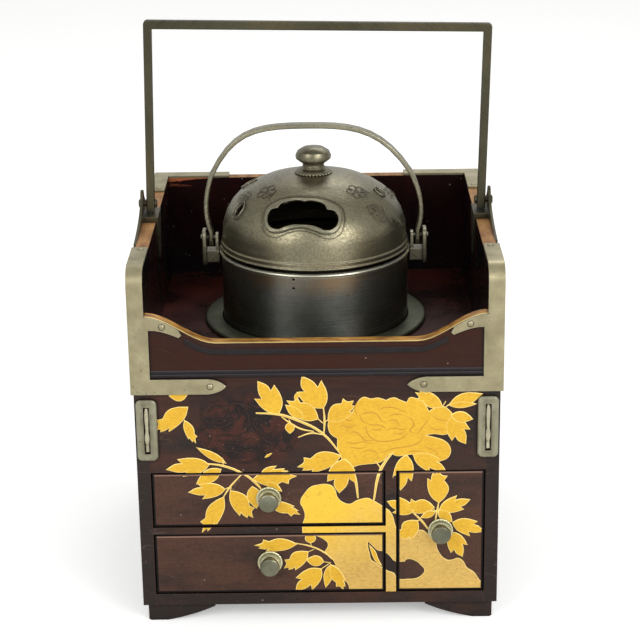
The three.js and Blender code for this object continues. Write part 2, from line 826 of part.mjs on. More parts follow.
// A cutter square to the dome, centred at a height above the band and an angle from the front.
function cutter(shape, angle, height, curveSegments) {
  const n = domeSquareness;
  const radius = domeRadius * Math.pow(1 - Math.pow(height / domeRise, n), 1 / n);
  const upward = Math.pow(height / domeRise, n - 1) / domeRise;
  const outward = Math.pow(radius / domeRadius, n - 1) / domeRadius;
  return seenFromFront(shape, -5 * lidWall, 5 * lidWall, 0, curveSegments)
    .rotateX(-Math.atan2(upward, outward))
    .translate(0, -radius, bandTop + height)
    .rotateZ(angle * degrees);
}

function bowlLid() {
  const neck = bowlRadius - bowlWall - lidNeckPlay;
  const shoulder = bowlRadius - 0.4;
  const bandUnder = rim + lidGroove;
  const outer = domeProfile(domeRadius, domeRise, knobSeat).map(([r, h]) => [r, bandTop + h]);
  const inside = domeProfile(domeRadius - lidWall, domeRise - lidWall, knobSeat)
    .map(([r, h]) => [r, bandTop + h])
    .reverse();
  const hole = knobShank + shankPlay;
  const shell = turned(closed([
    [neck, rim - lidNeck],
    [neck, rim],
    [shoulder, rim],
    [shoulder, bandUnder],
    [lidBandRadius, bandUnder],
    [lidBandRadius, bandUnder + 1.4],
    [lidBandRadius - 0.7, bandUnder + 1.9],
    [lidBandRadius - 0.7, bandTop - 0.7],
    ...outer,
    [hole, domeTop],
    [hole, domeTop - lidWall],
    ...inside,
    [neck - lidWall, bandTop - 1],
    [neck - lidWall, rim - lidNeck],
  ]));
  const holes = drops.map((drop) =>
    cutter(teardrop(drop.length, drop.width), drop.angle, cloudRise + drop.rise, 4));
  return cut(shell, cutter(cloudOutline(), cloudAngle, cloudRise, 5), ...holes);
}

function lidKnob() {
  const under = domeTop - lidWall - gap;
  const nutRadius = knobShank * 1.9;
  const at = (radius, share) => [knobRadius * radius, domeTop + knobHeight * share];
  return turned([
    [0, under - knobNut],
    [nutRadius, under - knobNut],
    [nutRadius, under],
    [knobShank, under],
    [knobShank, domeTop],
    at(0.96, 0),
    at(1, 0.06),
    at(0.9, 0.13),
    at(0.69, 0.17),
    at(0.6, 0.26),
    at(0.6, 0.35),
    at(0.78, 0.44),
    at(0.98, 0.55),
    at(1, 0.67),
    at(0.9, 0.83),
    at(0.6, 0.96),
    [0, knobTop],
  ], 24);
}

// Drawers

function rosette(x, z) {
  const points = [];
  const steps = rosettePetals * 4;
  for (let i = 0; i < steps; i++) {
    const angle = (2 * Math.PI * i) / steps;
    const lobe = Math.abs(Math.cos((angle * rosettePetals) / 2));
    const radius = rosetteRadius * (0.9 + 0.1 * lobe);
    points.push([x + radius * Math.cos(angle), z + radius * Math.sin(angle)]);
  }
  const disc = seenFromFront(outline(points), drawerRecess - rosetteThickness, drawerRecess);
  const hole = rod(pullShank + pullHolePlay, -1, rosetteThickness + 1);
  return cut(disc, turnedForwards(hole, x, drawerRecess, z, 16));
}

function pull(x, z) {
  const inside = -drawerFront - gap;
  return turnedForwards([
    [0, inside - 1.6],
    [pullNut, inside - 1.6],
    [pullNut, inside],
    [pullShank, inside],
    [pullShank, rosetteThickness],
    [pullNeck, rosetteThickness],
    [pullNeck, pullProjection - 4.8],
    [pullRadius * 0.82, pullProjection - 4.1],
    [pullRadius, pullProjection - 2.9],
    [pullRadius, pullProjection - 1.7],
    [pullRadius * 0.8, pullProjection - 0.5],
    [0, pullProjection],
  ], x, drawerRecess, z, 18);
}

function drawer(name, x0, x1, z0, z1) {
  const [left, right] = [x0 + drawerPlay, x1 - drawerPlay];
  const [under, top] = [z0 + drawerPlay, z1 - drawerPlay];
  const behind = drawerRecess + drawerFront;
  const boardFront = drawerEnd - drawerSide;
  const sole = z0 + drawerSeat;
  const sideTop = top - drawerSideDrop;
  const x = (left + right) / 2;
  const z = (under + top) / 2 + pullRise;
  const hole = rod(pullShank + pullHolePlay, -drawerFront - 1, 1);
  const bore = turnedForwards(hole, x, drawerRecess, z, 16);
  const trayUnder = sole + drawerBottomLift;
  const trayTop = trayUnder + drawerBottom;
  const between = [left + drawerSide, right - drawerSide];
  return [
    [`${name}_front`, cut(box(left, right, drawerRecess, behind, under, top), bore), lacquer],
    [`${name}_side_left`, box(left, left + drawerSide, behind, drawerEnd, sole, sideTop), woodInside],
    [`${name}_side_right`, box(right - drawerSide, right, behind, drawerEnd, sole, sideTop), woodInside],
    [`${name}_back`, box(...between, boardFront, drawerEnd, trayUnder, sideTop), woodInside],
    [`${name}_bottom`, box(...between, behind, boardFront, trayUnder, trayTop), woodInside],
    [`${name}_rosette`, rosette(x, z), pewter],
    [`${name}_pull`, pull(x, z), pewter],
  ];
}

// Pipe rests, for the right-hand side

const restX = half - restPlateInset - restPlateWidth / 2;
const slotSill = restPlateSill + (restPlateHeight - restSlotHeight) / 2;
const restHingeY = -restPlateThickness / 2;
const restHingeZ = slotSill + restLeafPlay + restLeafThickness / 2;

function pipeRestPlate() {
  const [x0, x1] = [restX - restPlateWidth / 2, restX + restPlateWidth / 2];
  const top = restPlateSill + restPlateHeight;
  const plate = roundedOutline(x0, x1, restPlateSill, top, restPlateCorner);
  const reach = restSlotWidth / 2;
  const slotTop = slotSill + restSlotHeight;
  const slot = box(restX - reach, restX + reach, -restPlateThickness - 1, 1, slotSill, slotTop);
  const hole = rod(restPin + restPinPlay, restX - reach - 1.8, restX + reach + 1.8);
  return cut(
    seenFromFront(plate, -restPlateThickness, 0, 0.7, 4),
    slot,
    turnedAlongX(hole, restHingeY, restHingeZ, 12),
  );
}

function pipeRestPin() {
  const reach = restSlotWidth / 2 + 1.5;
  return turnedAlongX(rod(restPin, restX - reach, restX + reach), restHingeY, restHingeZ, 12);
}

function pipeRest() {
  const reach = restLeafWidth / 2;
  const [foot, top] = [slotSill + restLeafPlay, slotSill + restSlotHeight - restLeafPlay];
  const face = new THREE.Shape();
  const middle = foot + (top - foot) * 0.36;
  const bulge = reach + restBulge;
  face.moveTo(restX - reach, foot);
  face.lineTo(restX + reach, foot);
  face.lineTo(restX + reach, middle - 4);
  face.quadraticCurveTo(restX + bulge + restBulge, middle, restX + reach, middle + 4);
  face.lineTo(restX + reach, top);
  face.lineTo(restX - reach, top);
  face.lineTo(restX - reach, middle + 4);
  face.quadraticCurveTo(restX - bulge - restBulge, middle, restX - reach, middle - 4);
  const depth = restLeafThickness / 2;
  const side = new THREE.Shape();
  side.moveTo(restHingeY + depth, restHingeZ);
  side.lineTo(restHingeY + depth, top);
  side.lineTo(restHingeY - depth, top);
  side.lineTo(restHingeY - depth, restHingeZ);
  side.absarc(restHingeY, restHingeZ, depth, Math.PI, 2 * Math.PI, false);
  const leaf = common(
    seenFromFront(face, restHingeY - depth, restHingeY + depth, 0, 4),
    seenFromRight(side, restX - 2 * bulge, restX + 2 * bulge, 0, 6),
  );
  const hole = rod(restPin + restPinPlay, restX - 2 * bulge, restX + 2 * bulge);
  return cut(leaf, turnedAlongX(hole, restHingeY, restHingeZ, 12));
}

// Finishes and assembly

const lacquer = new THREE.MeshStandardMaterial({ color: 0x2e1f1b, roughness: 0.22, metalness: 0 });
const trayLacquer = new THREE.MeshStandardMaterial({ color: 0x3a120d, roughness: 0.2, metalness: 0 });
const woodInside = new THREE.MeshStandardMaterial({ color: 0x9a7448, roughness: 0.7, metalness: 0 });
const pewter = new THREE.MeshStandardMaterial({ color: 0xa39d86, roughness: 0.42, metalness: 0.85 });
const darkPewter = new THREE.MeshStandardMaterial({ color: 0x6d6a5a, roughness: 0.4, metalness: 0.85 });

const cabinet = new THREE.Group();
const frontReach = pullProjection - drawerRecess;
const backReach = caseDepth + mountPlate + rivetRise;
cabinet.position.set(0, (frontReach - backReach) / 2, footHeight);

// The well, the bowl and all that is on it, modelled about the bowl's axis.
const bowlGroup = new THREE.Group();
bowlGroup.position.set(bowlAside, bowlY, 0);
cabinet.add(bowlGroup);

function piece(name, geometry, material, group = cabinet) {
  const mesh = new THREE.Mesh(geometry, material);
  mesh.name = name;
  group.add(mesh);
}

// A piece modelled on the right-hand side and its mirror image.
function pair(name, geometry, material, group = cabinet) {
  piece(`${name}_right`, geometry, material, group);
  piece(`${name}_left`, mirrored(geometry), material, group);
}

pair("case_side", caseSide(), lacquer);
piece("case_back", box(-inner, inner, backInner, caseDepth, 0, wallTop), lacquer);
piece("case_bottom", box(-inner, inner, 0, backInner, 0, bottomBoard), lacquer);
piece("drawer_partition", partition(), lacquer);
piece("drawer_shelf", box(-inner, partitionLeft, 0, backInner, lowerTop, shelfTop), lacquer);
piece("dust_board", dustBoardPiece(), lacquer);
piece("front_fascia", box(-inner, inner, 0, frontBoard, drawerTop, fasciaTop), lacquer);
piece("tray_floor", trayFloor(), trayLacquer);
piece("gallery_front", galleryFront(), lacquer);
pair("foot_front", foot(), lacquer);
piece("foot_back_left", turnedRound(foot()), lacquer);
piece("foot_back_right", turnedRound(mirrored(foot())), lacquer);
pair("corner_mount_front", frontMount(), pewter);
pair("corner_mount_back", backMount(), pewter);
pair("pipe_rest_plate", pipeRestPlate(), pewter);
pair("pipe_rest_pin", pipeRestPin(), pewter);
pair("pipe_rest", pipeRest(), pewter);
pair("handle_bracket", handleBracket(), darkPewter);
pair("handle_pin", handlePinPiece(), darkPewter);
piece("carry_handle", carryHandle(), darkPewter);
piece("well_liner", wellLiner(), pewter, bowlGroup);
piece("fire_bowl", fireBowl(), darkPewter, bowlGroup);
pair("bowl_lug", bowlLug(), darkPewter, bowlGroup);
pair("bail_pin", bailPinPiece(), darkPewter, bowlGroup);
piece("bail", bail(), darkPewter, bowlGroup);
piece("bowl_lid", bowlLid(), darkPewter, bowlGroup);
piece("lid_knob", lidKnob(), darkPewter, bowlGroup);

const drawers = [
  ...drawer("upper_drawer", -inner, partitionLeft, shelfTop, drawerTop),
  ...drawer("lower_drawer", -inner, partitionLeft, bottomBoard, lowerTop),
  ...drawer("tall_drawer", partitionRight, inner, bottomBoard, drawerTop),
];
for (const [name, geometry, material] of drawers) piece(name, geometry, material);

export default cabinet;
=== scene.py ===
import bmesh
import bpy
import math
from mathutils import Matrix, Vector


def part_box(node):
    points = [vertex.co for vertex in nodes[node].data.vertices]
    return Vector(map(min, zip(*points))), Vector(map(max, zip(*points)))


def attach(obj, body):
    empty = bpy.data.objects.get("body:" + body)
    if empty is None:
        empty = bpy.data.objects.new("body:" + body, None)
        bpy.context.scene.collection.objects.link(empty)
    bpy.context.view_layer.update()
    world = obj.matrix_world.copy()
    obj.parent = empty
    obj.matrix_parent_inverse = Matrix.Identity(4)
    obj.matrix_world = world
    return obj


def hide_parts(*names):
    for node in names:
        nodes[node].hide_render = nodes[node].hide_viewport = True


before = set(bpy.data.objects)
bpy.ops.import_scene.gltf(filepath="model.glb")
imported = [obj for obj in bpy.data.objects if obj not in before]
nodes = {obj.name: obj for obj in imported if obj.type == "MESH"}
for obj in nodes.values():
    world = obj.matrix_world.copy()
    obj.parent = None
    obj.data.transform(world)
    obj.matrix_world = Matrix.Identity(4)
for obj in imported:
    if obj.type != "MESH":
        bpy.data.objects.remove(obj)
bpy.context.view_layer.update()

mm = 0.001
drawers = ("upper_drawer", "lower_drawer", "tall_drawer")
print("cabinet loaded:", len(nodes), "nodes")


# Camera and lamps

viewing = {
    "place": (7.9, -1098.1, 536.2),  # mm
    "lens": 108.2,
    "sensor": 36,
    "tilt": 70.657,  # degrees up from straight down
    "swing": 0.324,
    "roll": -0.793,
    "clip": (0.05, 20),  # m
}

# place and size in metres, power in watts
lamps = {
    "keyLamp": ((-0.9, -1.2, 0.95), 0.9, 8.8),
    "fillLamp": ((0.6, -1.4, 0.7), 0.8, 5.0),
    "backLamp": ((0.2, 1.0, 1.3), 0.8, 3.5),
    "shineLamp": ((0.95, -1.1, 0.92), 0.7, 8.0),
}

lampTarget = (0, 0, 0.15)


def turned(degrees, axis):
    return Matrix.Rotation(math.radians(degrees), 4, axis)


def addObject(name, data):
    made = bpy.data.objects.new(name, data)
    bpy.context.collection.objects.link(made)
    return made


def makeCamera():
    data = bpy.data.cameras.new("camera")
    data.lens, data.sensor_width = viewing["lens"], viewing["sensor"]
    data.clip_start, data.clip_end = viewing["clip"]
    camera = addObject("camera", data)
    place = Matrix.Translation(Vector(viewing["place"]) * mm)
    aim = turned(viewing["swing"], "Z") @ turned(viewing["tilt"], "X") @ turned(viewing["roll"], "Z")
    camera.matrix_world = place @ aim
    bpy.context.scene.camera = camera


def makeLamp(name, place, size, power):
    data = bpy.data.lights.new(name, "AREA")
    data.shape, data.size, data.energy = "DISK", size, power
    aim = (Vector(lampTarget) - Vector(place)).to_track_quat("-Z", "Y").to_matrix().to_4x4()
    addObject(name, data).matrix_world = Matrix.Translation(place) @ aim


# Small helpers for node trees

def srgb(red, green, blue):
    def linear(share):
        return share / 12.92 if share <= 0.04045 else ((share + 0.055) / 1.055) ** 2.4
    return (linear(red / 255), linear(green / 255), linear(blue / 255), 1.0)


def setInputs(tree, node, inputs):
    for key, value in inputs.items():
        if isinstance(value, bpy.types.NodeSocket):
            tree.links.new(value, node.inputs[key])
        else:
            node.inputs[key].default_value = value


def addNode(tree, kind, inputs=None, **settings):
    node = tree.nodes.new(kind)
    for key, value in settings.items():
        setattr(node, key, value)
    setInputs(tree, node, inputs or {})
    return node


def addMath(tree, operation, first, second=0.0, clamp=False):
    inputs = {0: first, 1: second}
    return addNode(tree, "ShaderNodeMath", inputs, operation=operation, use_clamp=clamp).outputs[0]


def mathOf(operation):
    return lambda tree, first, second, clamp=False: addMath(tree, operation, first, second, clamp)


times, plus, minus, shared = (mathOf(word) for word in ("MULTIPLY", "ADD", "SUBTRACT", "DIVIDE"))
most, least, above, below = (mathOf(word) for word in ("MAXIMUM", "MINIMUM", "GREATER_THAN", "LESS_THAN"))


def rootOfSquares(tree, x, y):
    return addMath(tree, "SQRT", plus(tree, times(tree, x, x), times(tree, y, y)))


def addRange(tree, value, low, high, toLow=0.0, toHigh=1.0):
    inputs = {0: value, 1: low, 2: high, 3: toLow, 4: toHigh}
    return addNode(tree, "ShaderNodeMapRange", inputs, clamp=True).outputs[0]


# Mixes two colours, each a socket or three numbers up to 255
def addMix(tree, share, first, second):
    first, second = (srgb(*side) if isinstance(side, tuple) else side for side in (first, second))
    return addNode(tree, "ShaderNodeMix", {0: share, 6: first, 7: second}, data_type="RGBA").outputs[2]


# Lays a second colour over the first where the mask is, at this strength
def stained(tree, colour, over, mask, strength):
    return addMix(tree, times(tree, mask, strength), colour, over)


def addPlace(tree, scale=(1, 1, 1)):
    place = addNode(tree, "ShaderNodeTexCoord").outputs["Object"]
    return addNode(tree, "ShaderNodeMapping", {"Vector": place, "Scale": scale}).outputs[0]


def stretchedPlace(tree, stretch):
    place = addNode(tree, "ShaderNodeTexCoord").outputs["Object"]
    return addNode(tree, "ShaderNodeVectorMath", {0: place, 1: stretch}, operation="MULTIPLY").outputs[0]


def splitOf(tree, vector):
    return addNode(tree, "ShaderNodeSeparateXYZ", {0: vector}).outputs


def spotOf(tree):
    return splitOf(tree, addPlace(tree))


def facingOf(tree):
    return addNode(tree, "ShaderNodeNewGeometry").outputs["Normal"]


# 1 where two directions agree, less the more they differ
def alike(tree, first, second):
    inputs = {0: first, 1: second}
    return addNode(tree, "ShaderNodeVectorMath", inputs, operation="DOT_PRODUCT").outputs["Value"]


# Painted shade in hollows, from ambient occlusion: openness high and low are where it starts and where it
# is full
def hollowShade(tree, reach, high, low, samples):
    hollow = addNode(tree, "ShaderNodeAmbientOcclusion", {"Distance": reach}, samples=samples)
    return times(tree, addRange(tree, hollow.outputs["AO"], high, low), 0.85)


def noiseOf(tree, place, scale, detail, **more):
    inputs = {"Vector": place, "Scale": scale, "Detail": detail, **more}
    return addNode(tree, "ShaderNodeTexNoise", inputs).outputs[0]


number, direction = "NodeSocketFloat", "NodeSocketVector"


def startGroup(name, inputs, outputs):
    group = bpy.data.node_groups.new(name, "ShaderNodeTree")
    for title, kind, value in inputs:
        socket = group.interface.new_socket(title, in_out="INPUT", socket_type=kind)
        socket.default_value = value
    for title, kind in outputs:
        group.interface.new_socket(title, in_out="OUTPUT", socket_type=kind)
    return group, group.nodes.new("NodeGroupInput").outputs, group.nodes.new("NodeGroupOutput")


def useGroup(tree, group, **inputs):
    return addNode(tree, "ShaderNodeGroup", inputs, node_tree=group).outputs


# Effects that several finishes share

def makeEdgeWear():
    inputs = [("width", number, 0.0008), ("reach", number, 0.2), ("breakup", number, 900.0)]
    group, given, out = startGroup("edgeWear", inputs, [("mask", number), ("normal", direction)])
    rounded = addNode(group, "ShaderNodeBevel", {"Radius": given["width"]}, samples=4).outputs[0]
    turn = minus(group, 1.0, alike(group, rounded, facingOf(group)))
    edge = shared(group, turn, given["reach"])
    chips = noiseOf(group, addPlace(group), given["breakup"], 3.0)
    ragged = addRange(group, chips, 0.35, 0.65, 0.25, 1.3)
    mask = times(group, edge, ragged, clamp=True)
    setInputs(group, out, {"mask": mask, "normal": rounded})
    return group


def makeMottle():
    inputs = [("scale", number, 60.0), ("detail", number, 4.0), ("from", number, 0.4),
              ("to", number, 0.6), ("stretch", direction, (1.0, 1.0, 1.0))]
    group, given, out = startGroup("mottle", inputs, [("mask", number)])
    place = stretchedPlace(group, given["stretch"])
    cloud = noiseOf(group, place, given["scale"], given["detail"], Roughness=0.6)
    setInputs(group, out, {"mask": addRange(group, cloud, given["from"], given["to"])})
    return group


def makeSpecks():
    inputs = [("scale", number, 400.0), ("share", number, 0.1), ("size", number, 0.25)]
    group, given, out = startGroup("specks", inputs, [("mask", number)])
    cells = addNode(group, "ShaderNodeTexVoronoi", {"Vector": addPlace(group), "Scale": given["scale"]})
    near = below(group, cells.outputs["Distance"], given["size"])
    picked = addNode(group, "ShaderNodeSeparateColor", {0: cells.outputs["Color"]}).outputs[0]
    chosen = below(group, picked, given["share"])
    setInputs(group, out, {"mask": times(group, near, chosen)})
    return group


def makeScratches():
    inputs = [("scale", number, 30.0), ("fine", number, 0.012), ("stretch", direction, (1.0, 1.0, 6.0))]
    group, given, out = startGroup("scratches", inputs, [("mask", number)])
    lines = noiseOf(group, stretchedPlace(group, given["stretch"]), given["scale"], 2.0)
    away = addMath(group, "ABSOLUTE", minus(group, lines, 0.5))
    thin = below(group, away, given["fine"])
    where = addRange(group, noiseOf(group, addPlace(group), 45.0, 3.0), 0.55, 0.62)
    setInputs(group, out, {"mask": times(group, thin, where)})
    return group


# Fine rings round an upright axis, as a lathe and a polishing wheel leave them
def makeTurnedLines():
    inputs = [("middleX", number, 0.0), ("middleY", number, 0.0), ("fine", number, 1500.0)]
    group, given, out = startGroup("turnedLines", inputs, [("value", number)])
    place = splitOf(group, addNode(group, "ShaderNodeTexCoord").outputs["Object"])
    x, y = minus(group, place[0], given["middleX"]), minus(group, place[1], given["middleY"])
    rings = times(group, plus(group, rootOfSquares(group, x, y), place[2]), given["fine"])
    inputs = {"Vector": addPlace(group, (22, 22, 22)), "W": rings, "Scale": 1.0, "Detail": 3.0}
    noise = addNode(group, "ShaderNodeTexNoise", inputs, noise_dimensions="4D").outputs[0]
    setInputs(group, out, {"value": noise})
    return group


edgeWear, mottle, specks = makeEdgeWear(), makeMottle(), makeSpecks()
scratches, turnedLines = makeScratches(), makeTurnedLines()


# Soft blotches; between are the levels of the noise where the mask runs from 0 to 1
def blotches(tree, scale, detail, between, stretch=(1.0, 1.0, 1.0)):
    low, high = between
    inputs = {"scale": scale, "detail": detail, "from": low, "to": high, "stretch": stretch}
    return useGroup(tree, mottle, **inputs)["mask"]


def dots(tree, scale, share, size):
    return useGroup(tree, specks, scale=scale, share=share, size=size)["mask"]


print("shared effects made")


# Finishes

def startMaterial(name):
    material = bpy.data.materials.new(name)
    material.use_nodes = True
    tree = material.node_tree
    return material, tree, tree.nodes["Principled BSDF"]


# Relief in a normal: strength and depth (m) of the height given
def addBump(tree, height, normal, strength, depth):
    inputs = {"Height": height, "Normal": normal, "Strength": strength, "Distance": depth}
    return addNode(tree, "ShaderNodeBump", inputs).outputs[0]


lacquer = {
    "dark": (44, 37, 34),
    "brown": (74, 46, 36),
    "reddish": (50, 20, 8),
    "freckle": (26, 20, 19),
    "worn": (104, 66, 46),
    # rubbed: the drawer fronts' top edge, partly wear and partly a painted highlight
    "rubbed": (132, 102, 88),
    # hollow: painted shade, in hollows and in the gaps round the drawer fronts
    "hollow": (8, 6, 6),
    "speck": (150, 128, 108),
    "patch": [(24, 21, 22), (66, 33, 26)],
    "grit": (140, 108, 86),
    "rough": 0.26,
    "roughWorn": 0.2,
    "edgeWidth": 0.0007,
}


# brownShare sets how far the black has turned brown; redFrom and redTo are heights (m) where it is redder
def makeLacquer(name, brownShare, redFrom=1.0, redTo=1.1, brown=lacquer["brown"], patch=None, panel=None):
    material, tree, shader = startMaterial(name)
    edge = useGroup(tree, edgeWear, width=lacquer["edgeWidth"], reach=0.3, breakup=700.0)
    place = spotOf(tree)
    shift = brownShare * 0.4
    clouds = blotches(tree, 38.0, 5.0, (0.62 - shift, 0.88 - shift), (0.6, 1.0, 1.4))
    streaks = blotches(tree, 220.0, 3.0, (0.35, 0.75), (0.15, 0.15, 2.2))
    freckles = blotches(tree, 900.0, 2.0, (0.35, 0.72))
    red = addRange(tree, place[2], redFrom, redTo)
    redder = times(tree, red, addRange(tree, streaks, 0.0, 1.0, 0.35, 0.9))
    colour = addMix(tree, clouds, lacquer["dark"], brown)
    colour = addMix(tree, redder, colour, lacquer["reddish"])
    shade = plus(tree, times(tree, freckles, 0.35), times(tree, streaks, 0.15))
    colour = addMix(tree, shade, colour, lacquer["freckle"])
    if patch:
        across = shared(tree, minus(tree, place[0], patch["x"]), patch["reachX"])
        up = shared(tree, minus(tree, place[2], patch["z"]), patch["reachZ"])
        inPatch = addRange(tree, rootOfSquares(tree, across, up), 1.0, 0.7)
        rubbed = addMix(tree, blotches(tree, 105.0, 4.0, (0.44, 0.56)), *lacquer["patch"])
        colour = stained(tree, colour, rubbed, inPatch, 0.75)
        grit = times(tree, blotches(tree, 900.0, 3.0, (0.64, 0.7)), inPatch)
        colour = stained(tree, colour, lacquer["grit"], grit, 0.5)
    hair = useGroup(tree, scratches, scale=22.0, fine=0.0045, stretch=(1.0, 1.0, 4.5))["mask"]
    marks = most(tree, dots(tree, 330.0, 0.035, 0.16), times(tree, hair, 0.22))
    colour = stained(tree, colour, lacquer["speck"], marks, 0.55)
    colour = stained(tree, colour, lacquer["worn"], edge["mask"], 0.2 if panel else 0.75)
    # Round a drawer front: a black band of painted shade where the gap to the case lies, and along the top
    # edge a lighter line that is partly wear and partly a painted highlight
    if panel:
        low, high = panel
        sides = least(tree, minus(tree, place[0], low.x), minus(tree, high.x, place[0]))
        sides = least(tree, sides, minus(tree, place[2], low.z))
        over = minus(tree, high.z, place[2])
        colour = addMix(tree, addRange(tree, over, 0.0017, 0.0012), colour, lacquer["rubbed"])
        gapShade = most(tree, addRange(tree, sides, 0.0013, 0.0009), addRange(tree, over, 0.0008, 0.0005))
        colour = addMix(tree, gapShade, colour, lacquer["hollow"])
    # painted shade in the lacquer's hollows
    colour = addMix(tree, hollowShade(tree, 0.0024, 0.9, 0.45, 6), colour, lacquer["hollow"])
    rough = addRange(tree, clouds, 0.0, 1.0, lacquer["rough"], lacquer["rough"] + 0.1)
    rough = plus(tree, rough, times(tree, marks, 0.2))
    rough = plus(tree, rough, times(tree, edge["mask"], lacquer["roughWorn"]))
    relief = plus(tree, blotches(tree, 90.0, 2.0, (0.2, 0.8)), times(tree, marks, 0.3))
    normal = addBump(tree, relief, edge["normal"], 0.25, 0.00012)
    setInputs(tree, shader, {"Base Color": colour, "Roughness": rough, "Normal": normal,
                             "Coat Weight": 0.04, "Coat Roughness": 0.12, "Specular IOR Level": 0.15})
    return material


wall = {
    "brown": (58, 42, 36),
    "inside": (9, 6, 7),
    "insideRed": (38, 12, 11),
    "insideSpeck": (150, 150, 160),
    "chip": (160, 92, 60),
    "topWood": (172, 128, 80),
    "topDark": (112, 76, 46),
    "insideX": 0.0945,  # inner faces lie further from the middle than these, m
    "insideY": 0.0965,
    "top": 0.2138,
}


# The boards of the tray wall: black outside, darker inside, worn to the wood along the top
def makeWallLacquer(name, chipped):
    material = makeLacquer(name, 0.3, brown=wall["brown"])
    tree = material.node_tree
    shader = tree.nodes["Principled BSDF"]
    outside, rough = (shader.inputs[key].links[0].from_socket for key in ("Base Color", "Roughness"))
    place, facing = spotOf(tree), splitOf(tree, facingOf(tree))
    acrossX = addMath(tree, "ABSOLUTE", place[0])
    towards = times(tree, addMath(tree, "SIGN", place[0]), facing[0])
    innerSide = times(tree, below(tree, towards, -0.5), above(tree, acrossX, wall["insideX"]))
    innerBack = times(tree, below(tree, facing[1], -0.5), above(tree, place[1], wall["insideY"]))
    inner = most(tree, innerSide, innerBack)
    glow = blotches(tree, 24.0, 3.0, (0.42, 0.75), (1.0, 1.0, 0.5))
    dark = addMix(tree, glow, wall["inside"], wall["insideRed"])
    dark = stained(tree, dark, wall["insideSpeck"], dots(tree, 420.0, 0.05, 0.2), 0.4)
    colour = addMix(tree, inner, outside, dark)
    if chipped:
        near = addRange(tree, place[2], 0.2085, 0.2125)
        ragged = blotches(tree, 120.0, 4.0, (0.52, 0.55), (0.4, 1.0, 2.4))
        left = addRange(tree, place[0], -0.066, -0.072)
        chips = times(tree, times(tree, times(tree, near, ragged), left), inner)
        colour = addMix(tree, chips, colour, wall["chip"])
    upward = times(tree, above(tree, facing[2], 0.6), above(tree, place[2], wall["top"]))
    grain = blotches(tree, 340.0, 4.0, (0.35, 0.68), (0.5, 0.12, 1.0))
    colour = addMix(tree, upward, colour, addMix(tree, grain, wall["topWood"], wall["topDark"]))
    rough = most(tree, rough, times(tree, upward, 0.55))
    setInputs(tree, shader, {"Base Color": colour, "Roughness": rough})
    return material


gallery = {
    "brown": (56, 23, 9),
    "gilt": (222, 164, 76),
    # painted highlight along the front of the gilt edge
    "giltPaintedHighlight": (255, 228, 150),
    "giltDark": (122, 74, 36),
    "bead": (34, 32, 34),
    "beadDark": (22, 19, 20),
    # painted highlight on the top of the bead
    "beadPaintedHighlight": (66, 66, 70),
    "edgeFrom": 0.1715,
    "front": -0.09858,  # y of the case's front; the bead and the moulding stand before it
    "giltFrom": -0.0984,
}


# The wavy board at the tray's front: gilt along its top edge, brown panel, slate coloured bead, with a
# painted highlight on the bead's top and along the gilt's front
def makeGalleryLacquer():
    material = makeLacquer("galleryLacquer", 0.85, 0.150, 0.162, brown=gallery["brown"])
    tree = material.node_tree
    shader = tree.nodes["Principled BSDF"]
    colour = shader.inputs["Base Color"].links[0].from_socket
    place, facing = spotOf(tree), splitOf(tree, facingOf(tree))
    bead = addMix(tree, blotches(tree, 200.0, 4.0, (0.3, 0.8)), gallery["bead"], gallery["beadDark"])
    # painted highlight on the upward faces of the bead
    bead = addMix(tree, addRange(tree, facing[2], 0.4, 0.85), bead, gallery["beadPaintedHighlight"])
    colour = stained(tree, colour, bead, below(tree, place[1], gallery["front"]), 0.9)
    upward = times(tree, above(tree, facing[2], 0.35), above(tree, place[2], gallery["edgeFrom"]))
    upward = times(tree, upward, above(tree, place[1], gallery["giltFrom"]))
    worn = blotches(tree, 260.0, 4.0, (0.34, 0.66), (0.35, 1.6, 1.0))
    gilt = addMix(tree, worn, gallery["gilt"], gallery["giltDark"])
    # painted highlight along the front of the gilt edge
    gilt = addMix(tree, addRange(tree, place[1], -0.0964, -0.0976), gilt, gallery["giltPaintedHighlight"])
    colour = addMix(tree, upward, colour, gilt)
    setInputs(tree, shader, {"Base Color": colour, "Metallic": times(tree, upward, 0.45)})
    return material


tray = {"dark": (24, 9, 6), "red": (74, 26, 15), "speck": (150, 112, 84)}


def makeTrayLacquer():
    material, tree, shader = startMaterial("trayLacquer")
    edge = useGroup(tree, edgeWear, width=0.0006, reach=0.3, breakup=700.0)
    clouds = blotches(tree, 30.0, 5.0, (0.35, 0.68))
    colour = addMix(tree, clouds, tray["dark"], tray["red"])
    colour = stained(tree, colour, tray["speck"], dots(tree, 300.0, 0.04, 0.18), 0.4)
    rough = addRange(tree, clouds, 0.0, 1.0, 0.24, 0.36)
    normal = addBump(tree, clouds, edge["normal"], 0.2, 0.0001)
    setInputs(tree, shader, {"Base Color": colour, "Roughness": rough, "Normal": normal,
                             "Coat Weight": 0.1, "Coat Roughness": 0.15, "Specular IOR Level": 0.32})
    return material


wood = {"light": (150, 112, 76), "dark": (112, 78, 50), "edge": (178, 142, 104), "rings": 95.0}


# Plain box wood of the drawers' insides, with its grain along the boards
def makeDrawerWood():
    material, tree, shader = startMaterial("drawerWood")
    edge = useGroup(tree, edgeWear, width=0.0006, reach=0.3, breakup=500.0)
    slow = blotches(tree, wood["rings"], 4.0, (0.3, 0.7), (1.0, 0.08, 1.0))
    fine = blotches(tree, 900.0, 3.0, (0.4, 0.7), (1.0, 0.03, 1.0))
    grain = plus(tree, times(tree, slow, 0.6), times(tree, fine, 0.4))
    colour = addMix(tree, grain, wood["light"], wood["dark"])
    colour = stained(tree, colour, wood["edge"], edge["mask"], 0.4)
    rough = addRange(tree, fine, 0.0, 1.0, 0.5, 0.66)
    normal = addBump(tree, grain, edge["normal"], 0.4, 0.00012)
    setInputs(tree, shader, {"Base Color": colour, "Roughness": rough, "Normal": normal})
    return material


